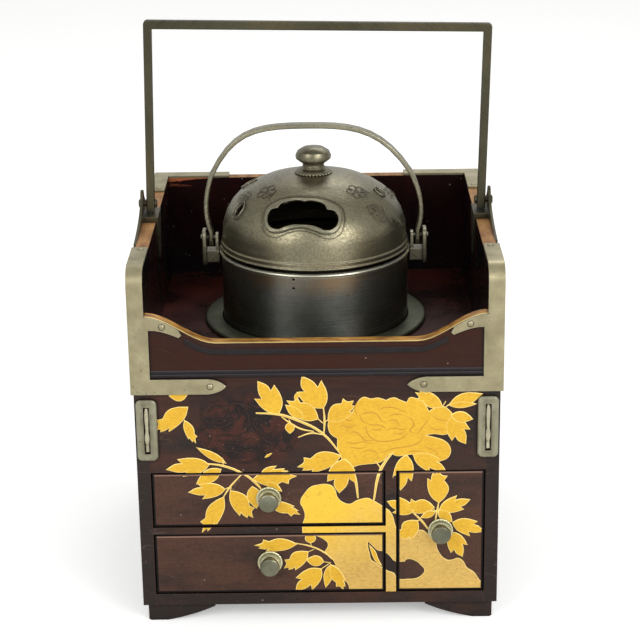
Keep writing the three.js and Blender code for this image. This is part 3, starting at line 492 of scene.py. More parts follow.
paleMetal = {
    # grimeAndShade: dirt in the pits, and painted shade in hollows
    "grimeAndShade": (62, 56, 40),
    "bright": (226, 222, 204),
    "stain": (92, 82, 58),
    "dull": [(128, 130, 112), (92, 95, 80)],
}


# Thin pewter coloured sheet of the mounts, plates, rosettes and pulls, with painted shade in its hollows
def makePaleMetal(name, light, shade, rough, stain=None, faceFrom=None):
    material, tree, shader = startMaterial(name)
    edge = useGroup(tree, edgeWear, width=0.0005, reach=0.25, breakup=1200.0)
    clouds = blotches(tree, 70.0, 6.0, (0.32, 0.7))
    fine = blotches(tree, 1100.0, 3.0, (0.3, 0.75))
    colour = stained(tree, addMix(tree, clouds, light, shade), shade, fine, 0.3)
    pits = dots(tree, 420.0, 0.07, 0.2)
    colour = stained(tree, colour, paleMetal["grimeAndShade"], pits, 0.5)
    # painted shade in hollows and round the rivets' feet
    colour = addMix(tree, hollowShade(tree, 0.0013, 0.93, 0.6, 8), colour, paleMetal["grimeAndShade"])
    colour = stained(tree, colour, paleMetal["bright"], edge["mask"], 0.4)
    if stain:
        acrossX = addMath(tree, "ABSOLUTE", spotOf(tree)[0])
        away = addMath(tree, "ABSOLUTE", minus(tree, acrossX, stain))
        blots = blotches(tree, 130.0, 3.0, (0.35, 0.6))
        soiled = times(tree, addRange(tree, away, 0.0042, 0.0022), blots)
        colour = stained(tree, colour, paleMetal["stain"], soiled, 0.6)
    if faceFrom:
        flat = addRange(tree, alike(tree, facingOf(tree), (0, -1, 0)), 0.93, 0.99)
        face = times(tree, flat, below(tree, spotOf(tree)[1], faceFrom))
        colour = stained(tree, colour, addMix(tree, clouds, *paleMetal["dull"]), face, 0.75)
    roughness = addRange(tree, plus(tree, clouds, fine), 0.0, 2.0, rough - 0.06, rough + 0.16)
    relief = plus(tree, times(tree, clouds, 0.6), times(tree, fine, 0.4))
    relief = minus(tree, relief, times(tree, pits, 0.6))
    normal = addBump(tree, relief, edge["normal"], 0.35, 0.0001)
    setInputs(tree, shader, {"Base Color": colour, "Roughness": roughness, "Normal": normal,
                             "Metallic": 0.85})
    return material


greyMetal = {
    "warm": (150, 128, 86),
    # grimeAndShade: dirt in pits and stains, and painted shade in hollows
    "grimeAndShade": (58, 54, 42),
    "bright": (214, 208, 182),
    # groove: painted shadow under the lid's band, over the bowl's rim
    "groove": (14, 12, 8),
    # rimWarmReflection: painted warm reflection of the red lacquer, just below the bowl's rim
    "rimWarmReflection": (150, 116, 74),
    # rim: painted highlight on the bowl's rim bead
    "rim": (206, 204, 184),
    "middle": (-0.001, 0.00695),  # the bowl's axis
}


# Turned and polished metal of the bowl, its lid and the handles, with painted shade in its hollows; where
# asked, a painted shadow under the lid's band, and a painted highlight with a painted warm reflection at
# the bowl's rim
def makeTurnedMetal(name, light, shade, rough, rings, warmth, metallic=0.92, groove=None, relief=0.22,
                    bright=None, brushed=0.0, edgeShare=0.45, ringShare=0.8, grain=0.22):
    material, tree, shader = startMaterial(name)
    edge = useGroup(tree, edgeWear, width=0.0006, reach=0.25, breakup=1000.0)
    x, y = greyMetal["middle"]
    lines = useGroup(tree, turnedLines, middleX=x, middleY=y, fine=rings)["value"]
    clouds = blotches(tree, 26.0, 5.0, (0.34, 0.68))
    fine = blotches(tree, 820.0, 4.0, (0.4, 0.66))
    ringTone = addRange(tree, lines, 0.3, 0.7, 0.0, 0.45 * ringShare)
    colour = addMix(tree, plus(tree, times(tree, clouds, 0.55), ringTone), light, shade)
    tint = blotches(tree, 17.0, 3.0, (0.42, 0.72))
    colour = stained(tree, colour, greyMetal["warm"], tint, warmth)
    pits = dots(tree, 330.0, 0.05, 0.17)
    stain = most(tree, times(tree, fine, grain), times(tree, pits, 0.7))
    colour = addMix(tree, stain, colour, greyMetal["grimeAndShade"])
    # painted shade in hollows
    colour = addMix(tree, hollowShade(tree, 0.004, 0.85, 0.35, 6), colour, greyMetal["grimeAndShade"])
    colour = stained(tree, colour, greyMetal["bright"], edge["mask"], edgeShare)
    # painted shadow between these two heights
    if groove:
        level = spotOf(tree)[2]
        between = times(tree, above(tree, level, groove[0]), below(tree, level, groove[1]))
        colour = addMix(tree, between, colour, greyMetal["groove"])
    # painted warm reflection under the rim, and a painted highlight on the rim bead, between the heights
    # given
    if bright:
        level = spotOf(tree)[2]
        warm = times(tree, addRange(tree, level, bright[0] - 0.012, bright[0] - 0.003), clouds)
        colour = stained(tree, colour, greyMetal["rimWarmReflection"], warm, 0.7)
        colour = addMix(tree, addRange(tree, level, *bright), colour, greyMetal["rim"])
    if brushed:
        along = addNode(tree, "ShaderNodeTangent", direction_type="RADIAL", axis="Z").outputs[0]
        setInputs(tree, shader, {"Tangent": along, "Anisotropic": brushed, "Anisotropic Rotation": 0.25})
    roughness = addRange(tree, lines, 0.3, 0.7, rough - 0.05, rough + 0.09)
    roughness = plus(tree, roughness, times(tree, fine, 0.06))
    height = plus(tree, times(tree, lines, ringShare), times(tree, fine, 1.2 - ringShare))
    height = minus(tree, height, times(tree, pits, 0.5))
    normal = addBump(tree, height, edge["normal"], relief, 0.00008)
    setInputs(tree, shader, {"Base Color": colour, "Roughness": roughness, "Normal": normal,
                             "Metallic": metallic})
    return material


goldLeaf = {
    "gold": (230, 184, 50),
    "deep": (202, 150, 34),
    "fresh": (243, 198, 64),  # where the rock has kept its gold
    "rock": (222, 185, 100),
    "rockDeep": (180, 140, 68),
    "freckle": (126, 74, 40),
    "rim": (255, 230, 150),
    "line": (216, 162, 48),
    # lineSideShade: painted shade on the sides of the drawn lines
    "lineSideShade": (182, 128, 34),
}


# Gold powder on lacquer: flat faces take the body colour and the rounded rims a paler one; on the drawn
# lines the rim colour is a darker painted shade on their sides
def makeGold(name, light, deep, freckled, rim=goldLeaf["rim"], faded=False):
    material, tree, shader = startMaterial(name)
    clouds = blotches(tree, 55.0, 4.0, (0.3, 0.75))
    fine = blotches(tree, 640.0, 5.0, (0.36, 0.7), (0.6, 1.0, 1.2))
    tone = plus(tree, times(tree, clouds, 0.4), times(tree, fine, 0.5))
    colour = addMix(tree, tone, light, deep)
    if faded:
        place = spotOf(tree)
        along = minus(tree, place[2], times(tree, place[0], 0.5))
        patchy = plus(tree, along, times(tree, clouds, 0.02))
        freshGold = addMix(tree, tone, goldLeaf["fresh"], goldLeaf["gold"])
        colour = addMix(tree, addRange(tree, patchy, 0.035, 0.075), colour, freshGold)
    spots = dots(tree, 620.0, freckled, 0.22)
    worn = times(tree, blotches(tree, 330.0, 6.0, (0.6, 0.68)), blotches(tree, 40.0, 2.0, (0.45, 0.6)))
    rubbed = most(tree, spots, times(tree, worn, freckled * 9), clamp=True)
    colour = stained(tree, colour, goldLeaf["freckle"], rubbed, 0.6)
    facing = facingOf(tree)
    # paler rims on the shapes; on the drawn lines this is painted shade on their sides
    rimmed = addRange(tree, alike(tree, facing, (0, -1, 0)), 0.9992, 0.985)
    colour = stained(tree, colour, rim, rimmed, 0.75)
    rough = addRange(tree, tone, 0.0, 0.8, 0.36, 0.5)
    normal = addBump(tree, fine, facing, 0.3, 0.00008)
    setInputs(tree, shader, {"Base Color": colour, "Roughness": rough, "Normal": normal, "Metallic": 0.35})
    return material


# where the second peony has lost its gold
wornPatch = {"x": -0.040, "z": 0.119, "reachX": 0.034, "reachZ": 0.026}

plateLow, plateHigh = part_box("pipe_rest_plate_right")
plateMiddle = (plateLow.x + plateHigh.x) / 2
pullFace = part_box("upper_drawer_front")[0].y - 7.5 * mm

caseLacquer = makeLacquer("caseLacquer", 0.35)
fasciaLacquer = makeLacquer("fasciaLacquer", 0.5, 0.128, 0.150, patch=wornPatch)
blackLacquer = makeLacquer("blackLacquer", 0.0)
# the drawer fronts take painted shade at their gaps, and a painted highlight with wear along their top
# edges
drawerLacquers = {drawer: makeLacquer(drawer + "Lacquer", 0.95, brown=(80, 54, 43),
                                      panel=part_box(drawer + "_front"))
                  for drawer in drawers}
sideWallLacquer = makeWallLacquer("sideWallLacquer", False)
backWallLacquer = makeWallLacquer("backWallLacquer", True)
galleryLacquer = makeGalleryLacquer()
trayLacquer = makeTrayLacquer()
drawerWood = makeDrawerWood()
mountMetal = makePaleMetal("mountMetal", (180, 170, 137), (136, 128, 99), 0.36)
pullMetal = makePaleMetal("pullMetal", (146, 143, 118), (92, 90, 73), 0.36, faceFrom=pullFace)
rosetteMetal = makePaleMetal("rosetteMetal", (234, 230, 188), (178, 174, 136), 0.32)
# dark metal for the rings of painted shade round the rivets
rivetShadeMetal = makePaleMetal("rivetShadeMetal", (70, 64, 48), (46, 41, 30), 0.5)
plateMetal = makePaleMetal("plateMetal", (166, 163, 140), (130, 127, 104), 0.4, stain=plateMiddle)
restMetal = makePaleMetal("restMetal", (206, 200, 174), (140, 132, 104), 0.3)
linerMetal = makePaleMetal("linerMetal", (112, 114, 94), (78, 80, 66), 0.42)
# the lid paints a shadow along the foot of its band, over the gap to the bowl
lidMetal = makeTurnedMetal("lidMetal", (150, 145, 121), (92, 90, 74), 0.31, 700.0, 0.3,
                           groove=(0.1956, 0.1979), ringShare=0.3, relief=0.45, grain=0.42)
# the bowl paints a highlight on its rim bead and a warm reflection under it
bowlMetal = makeTurnedMetal("bowlMetal", (142, 145, 137), (54, 60, 60), 0.34, 1300.0, 0.25, 0.95,
                            relief=0.6, bright=(0.1925, 0.1940), brushed=0.7, ringShare=1.1)
bailMetal = makeTurnedMetal("bailMetal", (162, 158, 136), (106, 103, 84), 0.27, 700.0, 0.15,
                            edgeShare=0.3)
handleMetal = makeTurnedMetal("handleMetal", (84, 81, 64), (59, 57, 44), 0.42, 700.0, 0.15,
                              edgeShare=0.15)
knobMetal = makeTurnedMetal("knobMetal", (132, 128, 108), (96, 92, 74), 0.3, 1500.0, 0.2)
engravedMetal = makeTurnedMetal("engravedMetal", (88, 84, 66), (60, 57, 43), 0.45, 700.0, 0.1)
borderMetal = makeTurnedMetal("borderMetal", (158, 154, 132), (106, 103, 84), 0.3, 700.0, 0.2)
goldBody = makeGold("goldBody", goldLeaf["gold"], goldLeaf["deep"], 0.02)
goldRock = makeGold("goldRock", goldLeaf["rock"], goldLeaf["rockDeep"], 0.07, faded=True)
# the drawn lines: painted shade on their sides
goldLine = makeGold("goldLine", goldLeaf["line"], goldLeaf["deep"], 0.02, rim=goldLeaf["lineSideShade"])
print("finishes made")

finishes = {
    caseLacquer: ["case_bottom", "drawer_partition", "drawer_shelf", "dust_board"],
    fasciaLacquer: ["front_fascia"],
    sideWallLacquer: ["case_side_left", "case_side_right"],
    backWallLacquer: ["case_back"],
    galleryLacquer: ["gallery_front"],
    trayLacquer: ["tray_floor"],
    linerMetal: ["well_liner"],
    plateMetal: ["pipe_rest_plate_left", "pipe_rest_plate_right"],
    lidMetal: ["bowl_lid"],
    knobMetal: ["lid_knob"],
    bowlMetal: ["fire_bowl"],
    handleMetal: ["carry_handle", "handle_bracket_left", "handle_bracket_right", "handle_pin_left",
                  "handle_pin_right"],
    bailMetal: ["bail", "bail_pin_left", "bail_pin_right", "bowl_lug_left", "bowl_lug_right"],
}


def dressNodes():
    named = {name: material for material, names in finishes.items() for name in names}
    named.update({drawer + "_front": drawerLacquers[drawer] for drawer in drawers})
    bySlot = {"lacquer": caseLacquer, "pale_metal": mountMetal, "grey_metal": handleMetal,
              "drawer_wood": drawerWood, "tray_lacquer": trayLacquer}
    for name, node in nodes.items():
        material = named.get(name) or bySlot[node.data.materials[0].name.split(".")[0]]
        for place in node.material_slots:
            place.material = material


joining = {"within": 0.00001, "sharpFrom": 32.0}  # m, degrees


# Loose triangles are joined and shaded smooth, apart from real edges, by one modifier group
def makeSmoothing():
    group = bpy.data.node_groups.new("joinAndSmooth", "GeometryNodeTree")
    group.is_modifier = True
    for way in ("INPUT", "OUTPUT"):
        group.interface.new_socket("Geometry", in_out=way, socket_type="NodeSocketGeometry")
    mesh = group.nodes.new("NodeGroupInput").outputs[0]
    plain = addNode(group, "GeometryNodeRemoveAttribute", {"Geometry": mesh, "Name": "custom_normal"})
    inputs = {"Geometry": plain.outputs[0], "Distance": joining["within"]}
    joined = addNode(group, "GeometryNodeMergeByDistance", inputs)
    inputs = {"Geometry": joined.outputs[0], "Shade Smooth": True}
    smooth = addNode(group, "GeometryNodeSetShadeSmooth", inputs, domain="FACE")
    angle = addNode(group, "GeometryNodeInputMeshEdgeAngle").outputs["Unsigned Angle"]
    sharp = addNode(group, "FunctionNodeCompare", {0: angle, 1: math.radians(joining["sharpFrom"])},
                    data_type="FLOAT", operation="GREATER_THAN")
    inputs = {"Geometry": smooth.outputs[0], "Selection": sharp.outputs[0], "Shade Smooth": False}
    creased = addNode(group, "GeometryNodeSetShadeSmooth", inputs, domain="EDGE")
    setInputs(group, group.nodes.new("NodeGroupOutput"), {0: creased.outputs[0]})
    for node in nodes.values():
        node.modifiers.new("joinAndSmooth", "NODES").node_group = group


makeCamera()
dressNodes()
makeSmoothing()
print("nodes dressed")


# Gold ornament of peonies over a rock, in millimetres across and up the front

# base across and up, tip across and up, width, plan, side that the plan's first half lies on
leaves = [
    (-72.5, 134.5, -91, 121, 10.5, "toothed", 1),
    (-74.5, 126.5, -69, 113.5, 5.5, "toothed", -1),
    (-72.5, 142, -82.5, 141.5, 7.5, "plain", 1),
    (-52.5, 100.5, -67.5, 109.5, 4.5, "plain", 1),
    (-61.5, 99.5, -85.5, 97, 10.5, "split", 1),
    (-55, 96.5, -69, 87.5, 8.5, "plain", 1),
    (-53, 84, -73.5, 82.5, 9, "split", 1),
    (-54, 79, -66.5, 58, 9.5, "toothed", 1),
    (-50, 83, -38, 66.5, 10.5, "toothed", -1),
    (-37.5, 85.5, -35.5, 72, 8.5, "plain", 1),
    (-28.5, 75.5, -11.5, 68, 7, "toothed", 1),
    (-37, 90, -13, 91.5, 10.5, "toothed", 1),
    (-29.5, 88, -21, 82.5, 5, "plain", 1),
    (-32.5, 93.5, -24, 98, 3.5, "plain", 1),
    (-23, 93.5, -17.5, 95, 2, "plain", 1),
    (-30, 103.5, -26, 106, 1.5, "plain", 1),
    (-21.5, 130, -32.5, 149.5, 13, "split", 1),
    (3.5, 133, -8.5, 152, 14.5, "split", -1),
    (0.5, 126.5, -16.5, 137.5, 11, "toothed", 1),
    (-8, 127, -17.5, 135, 6, "plain", 1),
    (-12.5, 138.5, -10, 143, 2.5, "plain", 1),
    (-15.5, 124.5, -15.5, 118, 5.5, "plain", 1),
    (6, 125.5, 20, 137, 11, "toothed", -1),
    (13, 104, -11, 97.5, 11, "toothed", 1),
    (70, 133, 55.5, 141.5, 8, "toothed", -1),
    (74, 134.5, 92, 140.5, 8, "plain", 1),
    (74, 134, 88.5, 134.5, 4, "plain", 1),
    (75, 128, 87, 125.5, 7, "plain", 1),
    (74.5, 127, 83, 110.5, 11.5, "split", 1),
    (54, 104, 72, 94.5, 9.5, "split", -1),
    (-5, 49.5, -5, 56, 6.5, "plain", 1),
    (-13, 49, -36, 48.5, 8, "toothed", 1),
    (-6.5, 44, -20, 34, 9.5, "toothed", 1),
    (2.5, 37.5, -7.5, 39, 7, "plain", 1),
    (1, 33, -14, 19.5, 11.5, "split", 1),
    (6.5, 35.5, 3.5, 21.5, 5.5, "plain", 1),
    (6.5, 35.5, 13.5, 20, 7, "toothed", 1),
    (68.5, 74, 68, 94, 12, "toothed", 1),
    (66, 71, 49.5, 73, 9, "toothed", 1),
    (69, 70, 86, 75.5, 9, "split", 1),
    (68.5, 69.5, 76, 62, 6.5, "plain", 1),
    (66.5, 68.5, 58.5, 65, 4.5, "plain", 1),
    (76.5, 61.5, 94, 56, 9.5, "split", -1),
    (76, 55.5, 82, 40, 10, "split", 1),
    (54, 68.5, 39.5, 75.5, 9.5, "split", 1),
    (56.5, 63, 46, 52, 10.5, "toothed", 1),
    (15, 102, 11.5, 81, 15, "split", 1),
    (50, 104, 47, 82.5, 10.5, "split", -1),
]

# width, then the points that each stem runs through
stems = [
    (1.5, [(-62.5, 100), (-53.5, 98.5), (-42.5, 93.5), (-36, 88), (-32, 83)]),
    (1.2, [(-43.5, 93), (-50, 85.5), (-54.5, 78.5)]),
    (1, [(-50, 85.5), (-53, 84)]),
    (1, [(-49.5, 86), (-50, 82.5)]),
    (1.1, [(-53.5, 98.5), (-54, 103.5)]),
    (1.2, [(-37, 90), (-33, 85)]),
    (1.6, [(-34.5, 130.5), (-21.5, 129.5), (-11.5, 126), (2.5, 118), (13, 105)]),
    (1.3, [(3.5, 133.5), (4, 125), (3.5, 117)]),
    (1.1, [(0.5, 126.5), (3, 124)]),
    (1.1, [(6, 126), (4, 124.5)]),
    (1.1, [(-20, 128), (-15, 124), (-9, 120.5), (-2, 119)]),
    (1.1, [(-11, 115.5), (-3.5, 118), (2.5, 117)]),
    (1, [(-16, 126.5), (-14.5, 123.5)]),
    (1.9, [(18.5, 98), (21, 89.5), (22.5, 77.5)]),
    (1.9, [(42.5, 106), (36.5, 97.5), (34, 91), (31.5, 76)]),
    (1.4, [(32.5, 100.5), (35.5, 96)]),
    (1, [(-13.5, 49.5), (-5, 47.5), (3.5, 43), (7.5, 39)]),
    (0.8, [(-5, 50), (-4.5, 47.5)]),
    (0.9, [(6.5, 37), (1, 33)]),
    (0.8, [(-6.5, 44), (-3, 45.5)]),
    (0.8, [(2, 37.5), (6, 37)]),
    (1.4, [(53.5, 68.5), (59, 62.5), (63.5, 56)]),
    (1, [(56, 63), (59, 63.5)]),
    (1.3, [(68.5, 74.5), (67.5, 68.5), (66.5, 62)]),
    (1, [(64.5, 70.5), (67.5, 68.5)]),
    (1, [(69.5, 70.5), (68, 68.5)]),
    (1.2, [(72, 133), (74, 134.5)]),
    (1, [(70, 133), (72, 136.5)]),
]

# outline of the open peony; in all outlines True marks a sharp point
peony = [
    (19.5, 130.5, True), (22.5, 136.5), (26, 139.5), (30, 138.5), (34, 139), (38.5, 137.5, True),
    (42.5, 139), (46.5, 137.5), (50, 136, True), (52, 139), (55, 138.5), (58.5, 137.5), (61, 134),
    (62.5, 130.5, True), (65.5, 132.5), (70, 133.5), (74, 131), (76.5, 127.5), (77.5, 122.5), (75.5, 118),
    (71.5, 116), (66, 116.5), (61, 116, True), (66.5, 114.5), (71.5, 112.5), (74.5, 109), (75, 105),
    (73, 101.5), (69.5, 100), (65.5, 98.5), (60, 100.5), (55, 102.5), (53.5, 104), (49, 103.5),
    (44, 103.5), (41.5, 105, True), (39.5, 103.5), (37, 100.5), (33, 99), (28, 98.5), (23.5, 98),
    (19.5, 97), (14, 99), (13, 103.5, True), (11, 108.5), (11, 114.5, True), (7.5, 117), (6, 120.5),
    (6, 124.5), (9, 128.5),
]

# lines between its petals
petalLines = [
    [(22.5, 136.5), (21, 132.5), (22.5, 128.5)],
    [(23.5, 129), (25.5, 125), (27.5, 123.5)],
    [(24.5, 128.5), (27, 130), (31, 130), (34, 128.5), (35.5, 125.5), (38.5, 123.5)],
    [(27.5, 123.5), (31, 122.5), (35, 122.5), (37.5, 121), (38.5, 120)],
    [(27, 122.5), (28, 118), (31, 114), (36, 112.5), (42.5, 113), (47.5, 114.5), (51, 117.5)],
    [(39.5, 124.5), (42.5, 125.5), (45, 124), (46, 122)],
    [(39, 119.5), (43.5, 120.5), (47.5, 119.5), (50.5, 120)],
    [(50, 128), (53, 125.5), (54, 122), (52, 119), (56, 116.5)],
    [(56, 116.5), (59, 121), (63, 126)],
    [(34, 131.5), (38, 133), (44.5, 132.5), (50.5, 129)],
    [(40, 128), (44.5, 129), (49, 128)],
    [(17.5, 117), (20.5, 118.5), (23.5, 117), (26.5, 113.5), (32, 113)],
    [(13, 123), (17.5, 121.5), (22.5, 122.5)],
    [(15.5, 112.5), (20.5, 111.5), (25.5, 112.5), (30, 111)],
    [(23.5, 105.5), (27.5, 107), (32, 106.5), (34, 104.5)],
    [(36, 105.5), (42.5, 108), (49.5, 109), (56, 111), (60, 115.5)],
    [(60, 109), (64, 107.5), (68.5, 104)],
    [(64, 128), (68, 125.5), (73.5, 124.5)],
    [(62, 122.5), (66, 119.5), (72.5, 119.5)],
    [(30, 120), (33, 119.5), (36, 120)],
    [(42.5, 117.5), (46.5, 117), (49.5, 118.5)],
    [(14.5, 127.5), (17.5, 125.5), (20.5, 126.5)],
    [(50.5, 105.5), (55, 106.5), (61, 105.5)],
    [(17.5, 109.5), (22.5, 108.5), (27.5, 109)],
]

# outline of the rock
rock = [
    (-10.5, 75), (-7.5, 81.5), (-4, 85), (-0.5, 86), (4, 86.5), (7.5, 85.5), (9.5, 83), (11, 78),
    (14, 75), (18, 74), (21.5, 76), (24.5, 77), (28, 77.5), (31, 76), (33.5, 74.5), (37, 72), (40, 70),
    (42, 67), (43.5, 61.5), (45, 56, True), (46.5, 53), (53.5, 52.5, True), (56, 56.5), (59, 57),
    (62, 55), (66.5, 50), (68.5, 43.5), (73.5, 38), (76.5, 38), (79.5, 39), (82.5, 37.5), (85, 33),
    (89, 30), (92, 25.5), (94.5, 22), (95.5, 16, True), (17.5, 17, True), (16, 23.5), (13, 26.5),
    (7.5, 30.5), (7, 35.5, True), (9.5, 35, True), (7.5, 39), (3, 44, True), (5, 48.5), (3, 51.5),
    (-1.5, 54, True), (-9.5, 54.5, True), (-9.5, 61), (-8, 67), (-9, 71.5),
]

# opening through it
hollow = [
    (28, 50, True), (30.5, 47.5), (33.5, 44.5), (37.5, 43.5), (40, 41.5), (43.5, 37.5), (49, 37, True),
    (50.5, 38.5), (56, 37), (58.5, 34.5), (60.5, 31.5), (59, 28.5), (56, 26.5), (51.5, 26), (45, 26.5),
    (43, 30), (39.5, 31.5), (37, 33), (32.5, 36.5), (30, 38.5), (29, 42.5), (28, 47.5),
]

# blade of rock in the opening
sliver = [
    (28.5, 48.5, True), (32.5, 43.5), (34, 39), (36.5, 34, True), (33, 36.5), (30.5, 41),
]

# raised lines of the peony that has lost its gold
ghostLines = [
    [(-65.5, 131), (-64, 134.5), (-59, 136.5), (-54.5, 138)],
    [(-65.5, 130), (-63.5, 126.5), (-58.5, 125), (-52.5, 125.5)],
    [(-61.5, 130), (-58.5, 134), (-53, 134.5), (-49.5, 131.5), (-51, 128)],
    [(-58, 122), (-53.5, 122.5), (-48, 125), (-43.5, 129), (-45, 134.5)],
    [(-52.5, 133.5), (-47.5, 136.5), (-43, 136), (-40, 132), (-38.5, 127.5), (-41, 122.5)],
    [(-56.5, 117), (-51, 117.5), (-45.5, 116.5), (-41, 119)],
    [(-36.5, 125.5), (-34.5, 120.5), (-31, 115), (-25.5, 111.5)],
    [(-61.5, 109), (-56.5, 106.5), (-49.5, 108), (-44.5, 106.5), (-38.5, 108.5), (-34.5, 106)],
    [(-55.5, 114), (-49.5, 112.5), (-43.5, 113), (-38.5, 115)],
    [(-47, 103.5), (-42.5, 100.5), (-37, 101), (-33.5, 103)],
    [(-23.5, 110), (-19.5, 107.5), (-15.5, 109), (-12, 113.5)],
    [(-67.5, 120.5), (-63, 119), (-60.5, 115.5), (-62, 112)],
]

# Leaf outlines along (0 foot, 1 tip) and across (share of half the width)
leafPlans = {
    "plain": [
        (0, 0, True), (0.25, 0.75), (0.55, 0.9), (0.85, 0.4), (1, 0, True), (0.8, -0.5), (0.5, -0.95),
        (0.2, -0.7),
    ],
    "toothed": [
        (0, 0, True), (0.2, 0.7), (0.45, 1), (0.74, 1.02, True), (0.67, 0.62, True), (0.8, 0.64),
        (0.92, 0.5, True), (0.86, 0.24, True), (1, 0, True), (0.85, -0.35), (0.82, -0.8, True),
        (0.69, -0.5, True), (0.45, -0.95), (0.2, -0.65),
    ],
    "split": [
        (0, 0, True), (0.12, 0.55), (0.32, 0.95), (0.62, 1.1, True), (0.52, 0.55, True), (0.74, 0.5),
        (1, 0.05, True), (0.8, -0.42), (0.6, -0.42, True), (0.7, -1, True), (0.42, -1), (0.18, -0.7),
    ],
}

raised = {
    "rock": 0.12,  # mm that each layer stands proud of the lacquer
    "peony": 0.18,
    "leaf": 0.20,
    "stem": 0.25,
    "step": 0.025,  # neighbours differ by this, so that none lies level in another
    "rim": 0.5,  # width of the rounded rim
    "vein": 0.3,  # radius of the lines on a leaf, on the petals and of the worn peony
    "petal": 0.42,
    "ghost": 0.65,
    "veinOver": 0.03,  # how far these stand over what is under them
    "petalOver": 0.1,
    "ghostOver": 0.3,
    "veinsFrom": 9,  # length of the shortest leaf that has veins
    "sunk": 0.10,  # how far the gold reaches into the lacquer
    "room": 8.0,  # shapes this near a panel are laid on it and cut
}


def curveMesh(curve):
    holder = addObject(curve.name, curve)
    seen = holder.evaluated_get(bpy.context.evaluated_depsgraph_get())
    mesh = bpy.data.meshes.new_from_object(seen)
    bpy.data.objects.remove(holder)
    bpy.data.curves.remove(curve)
    return mesh


def addOutline(curve, points):
    spline = curve.splines.new("BEZIER")
    spline.bezier_points.add(len(points) - 1)
    spline.use_cyclic_u = True
    for point, (x, z, *sharp) in zip(spline.bezier_points, points):
        point.co = (x, z, 0)
        point.handle_left_type = point.handle_right_type = "VECTOR" if sharp else "AUTO"


# A flat shape with a rounded rim, in its own plane; its thickness is set when it is laid on the front
def flatShape(outlines, rim=raised["rim"], inwards=True):
    curve = bpy.data.curves.new("flatShape", "CURVE")
    curve.dimensions, curve.fill_mode, curve.resolution_u = "2D", "BOTH", 5
    curve.bevel_depth, curve.bevel_resolution, curve.offset = rim, 2, -rim if inwards else 0
    for points in outlines:
        addOutline(curve, points)
    return curveMesh(curve)


def drawnLine(points, radius):
    curve = bpy.data.curves.new("drawnLine", "CURVE")
    curve.dimensions, curve.resolution_u = "3D", 4
    curve.bevel_depth, curve.bevel_resolution, curve.use_fill_caps = radius, 2, True
    spline = curve.splines.new("BEZIER")
    spline.bezier_points.add(len(points) - 1)
    for index, (point, (x, z)) in enumerate(zip(spline.bezier_points, points)):
        point.co = (x, z, 0)
        point.handle_left_type = point.handle_right_type = "AUTO"
        point.radius = 0.55 if index in (0, len(points) - 1) else 1.0
    return curveMesh(curve)


# Lays a mesh made in its own plane on the front at y (m), with its face this far out (mm)
def layOn(bm, mesh, y, proud, finish):
    depths = [vertex.co.z for vertex in mesh.vertices]
    deep, high = min(depths), max(depths)
    stretch = (proud + raised["sunk"]) / (high - deep)
    squash = Matrix.Diagonal((mm, mm, mm * stretch, 1)) @ Matrix.Translation((0, 0, -deep))
    stand = Matrix.Translation((0, y + raised["sunk"] * mm, 0)) @ turned(90, "X")
    mesh.transform(stand @ squash)
    first = len(bm.faces)
    bm.from_mesh(mesh)
    bm.faces.ensure_lookup_table()
    for face in bm.faces[first:]:
        face.material_index = finish
        face.smooth = True
    bpy.data.meshes.remove(mesh)


def leafPoints(row, rim):
    baseX, baseZ, tipX, tipZ, width, plan, side = row
    along = Vector((tipX - baseX, tipZ - baseZ))
    start = Vector((baseX, baseZ)) + along.normalized() * rim * 0.6
    across = Vector((-along.y, along.x)).normalized() * max(width / 2 - rim * 0.7, rim) * side
    along -= along.normalized() * rim * 1.2
    points = [(start + along * u + across * v, sharp) for u, v, *sharp in leafPlans[plan]]
    return [(point.x, point.y, *sharp) for point, sharp in points]


def leafVeins(row):
    baseX, baseZ, tipX, tipZ, width, _, side = row
    along = Vector((tipX - baseX, tipZ - baseZ))
    across = Vector((-along.y, along.x)).normalized() * width / 2 * side
    start = Vector((baseX, baseZ))
    plans = [[(0.06, 0), (0.45, 0.08), (0.86, 0.02)]]
    plans += [[(u, 0.05), (u + 0.2, v)] for u, v in ((0.3, 0.6), (0.52, 0.5), (0.34, -0.6))]
    return [[tuple(start + along * u + across * v) for u, v in plan] for plan in plans]


def cutPlane(bm, point, normal):
    everything = bm.verts[:] + bm.edges[:] + bm.faces[:]
    made = bmesh.ops.bisect_plane(bm, geom=everything, plane_co=point, plane_no=normal, clear_outer=True)
    edges = [item for item in made["geom_cut"] if isinstance(item, bmesh.types.BMEdge)]
    bmesh.ops.holes_fill(bm, edges=edges, sides=0)


bodyGold, rockGold, lineGold = range(3)


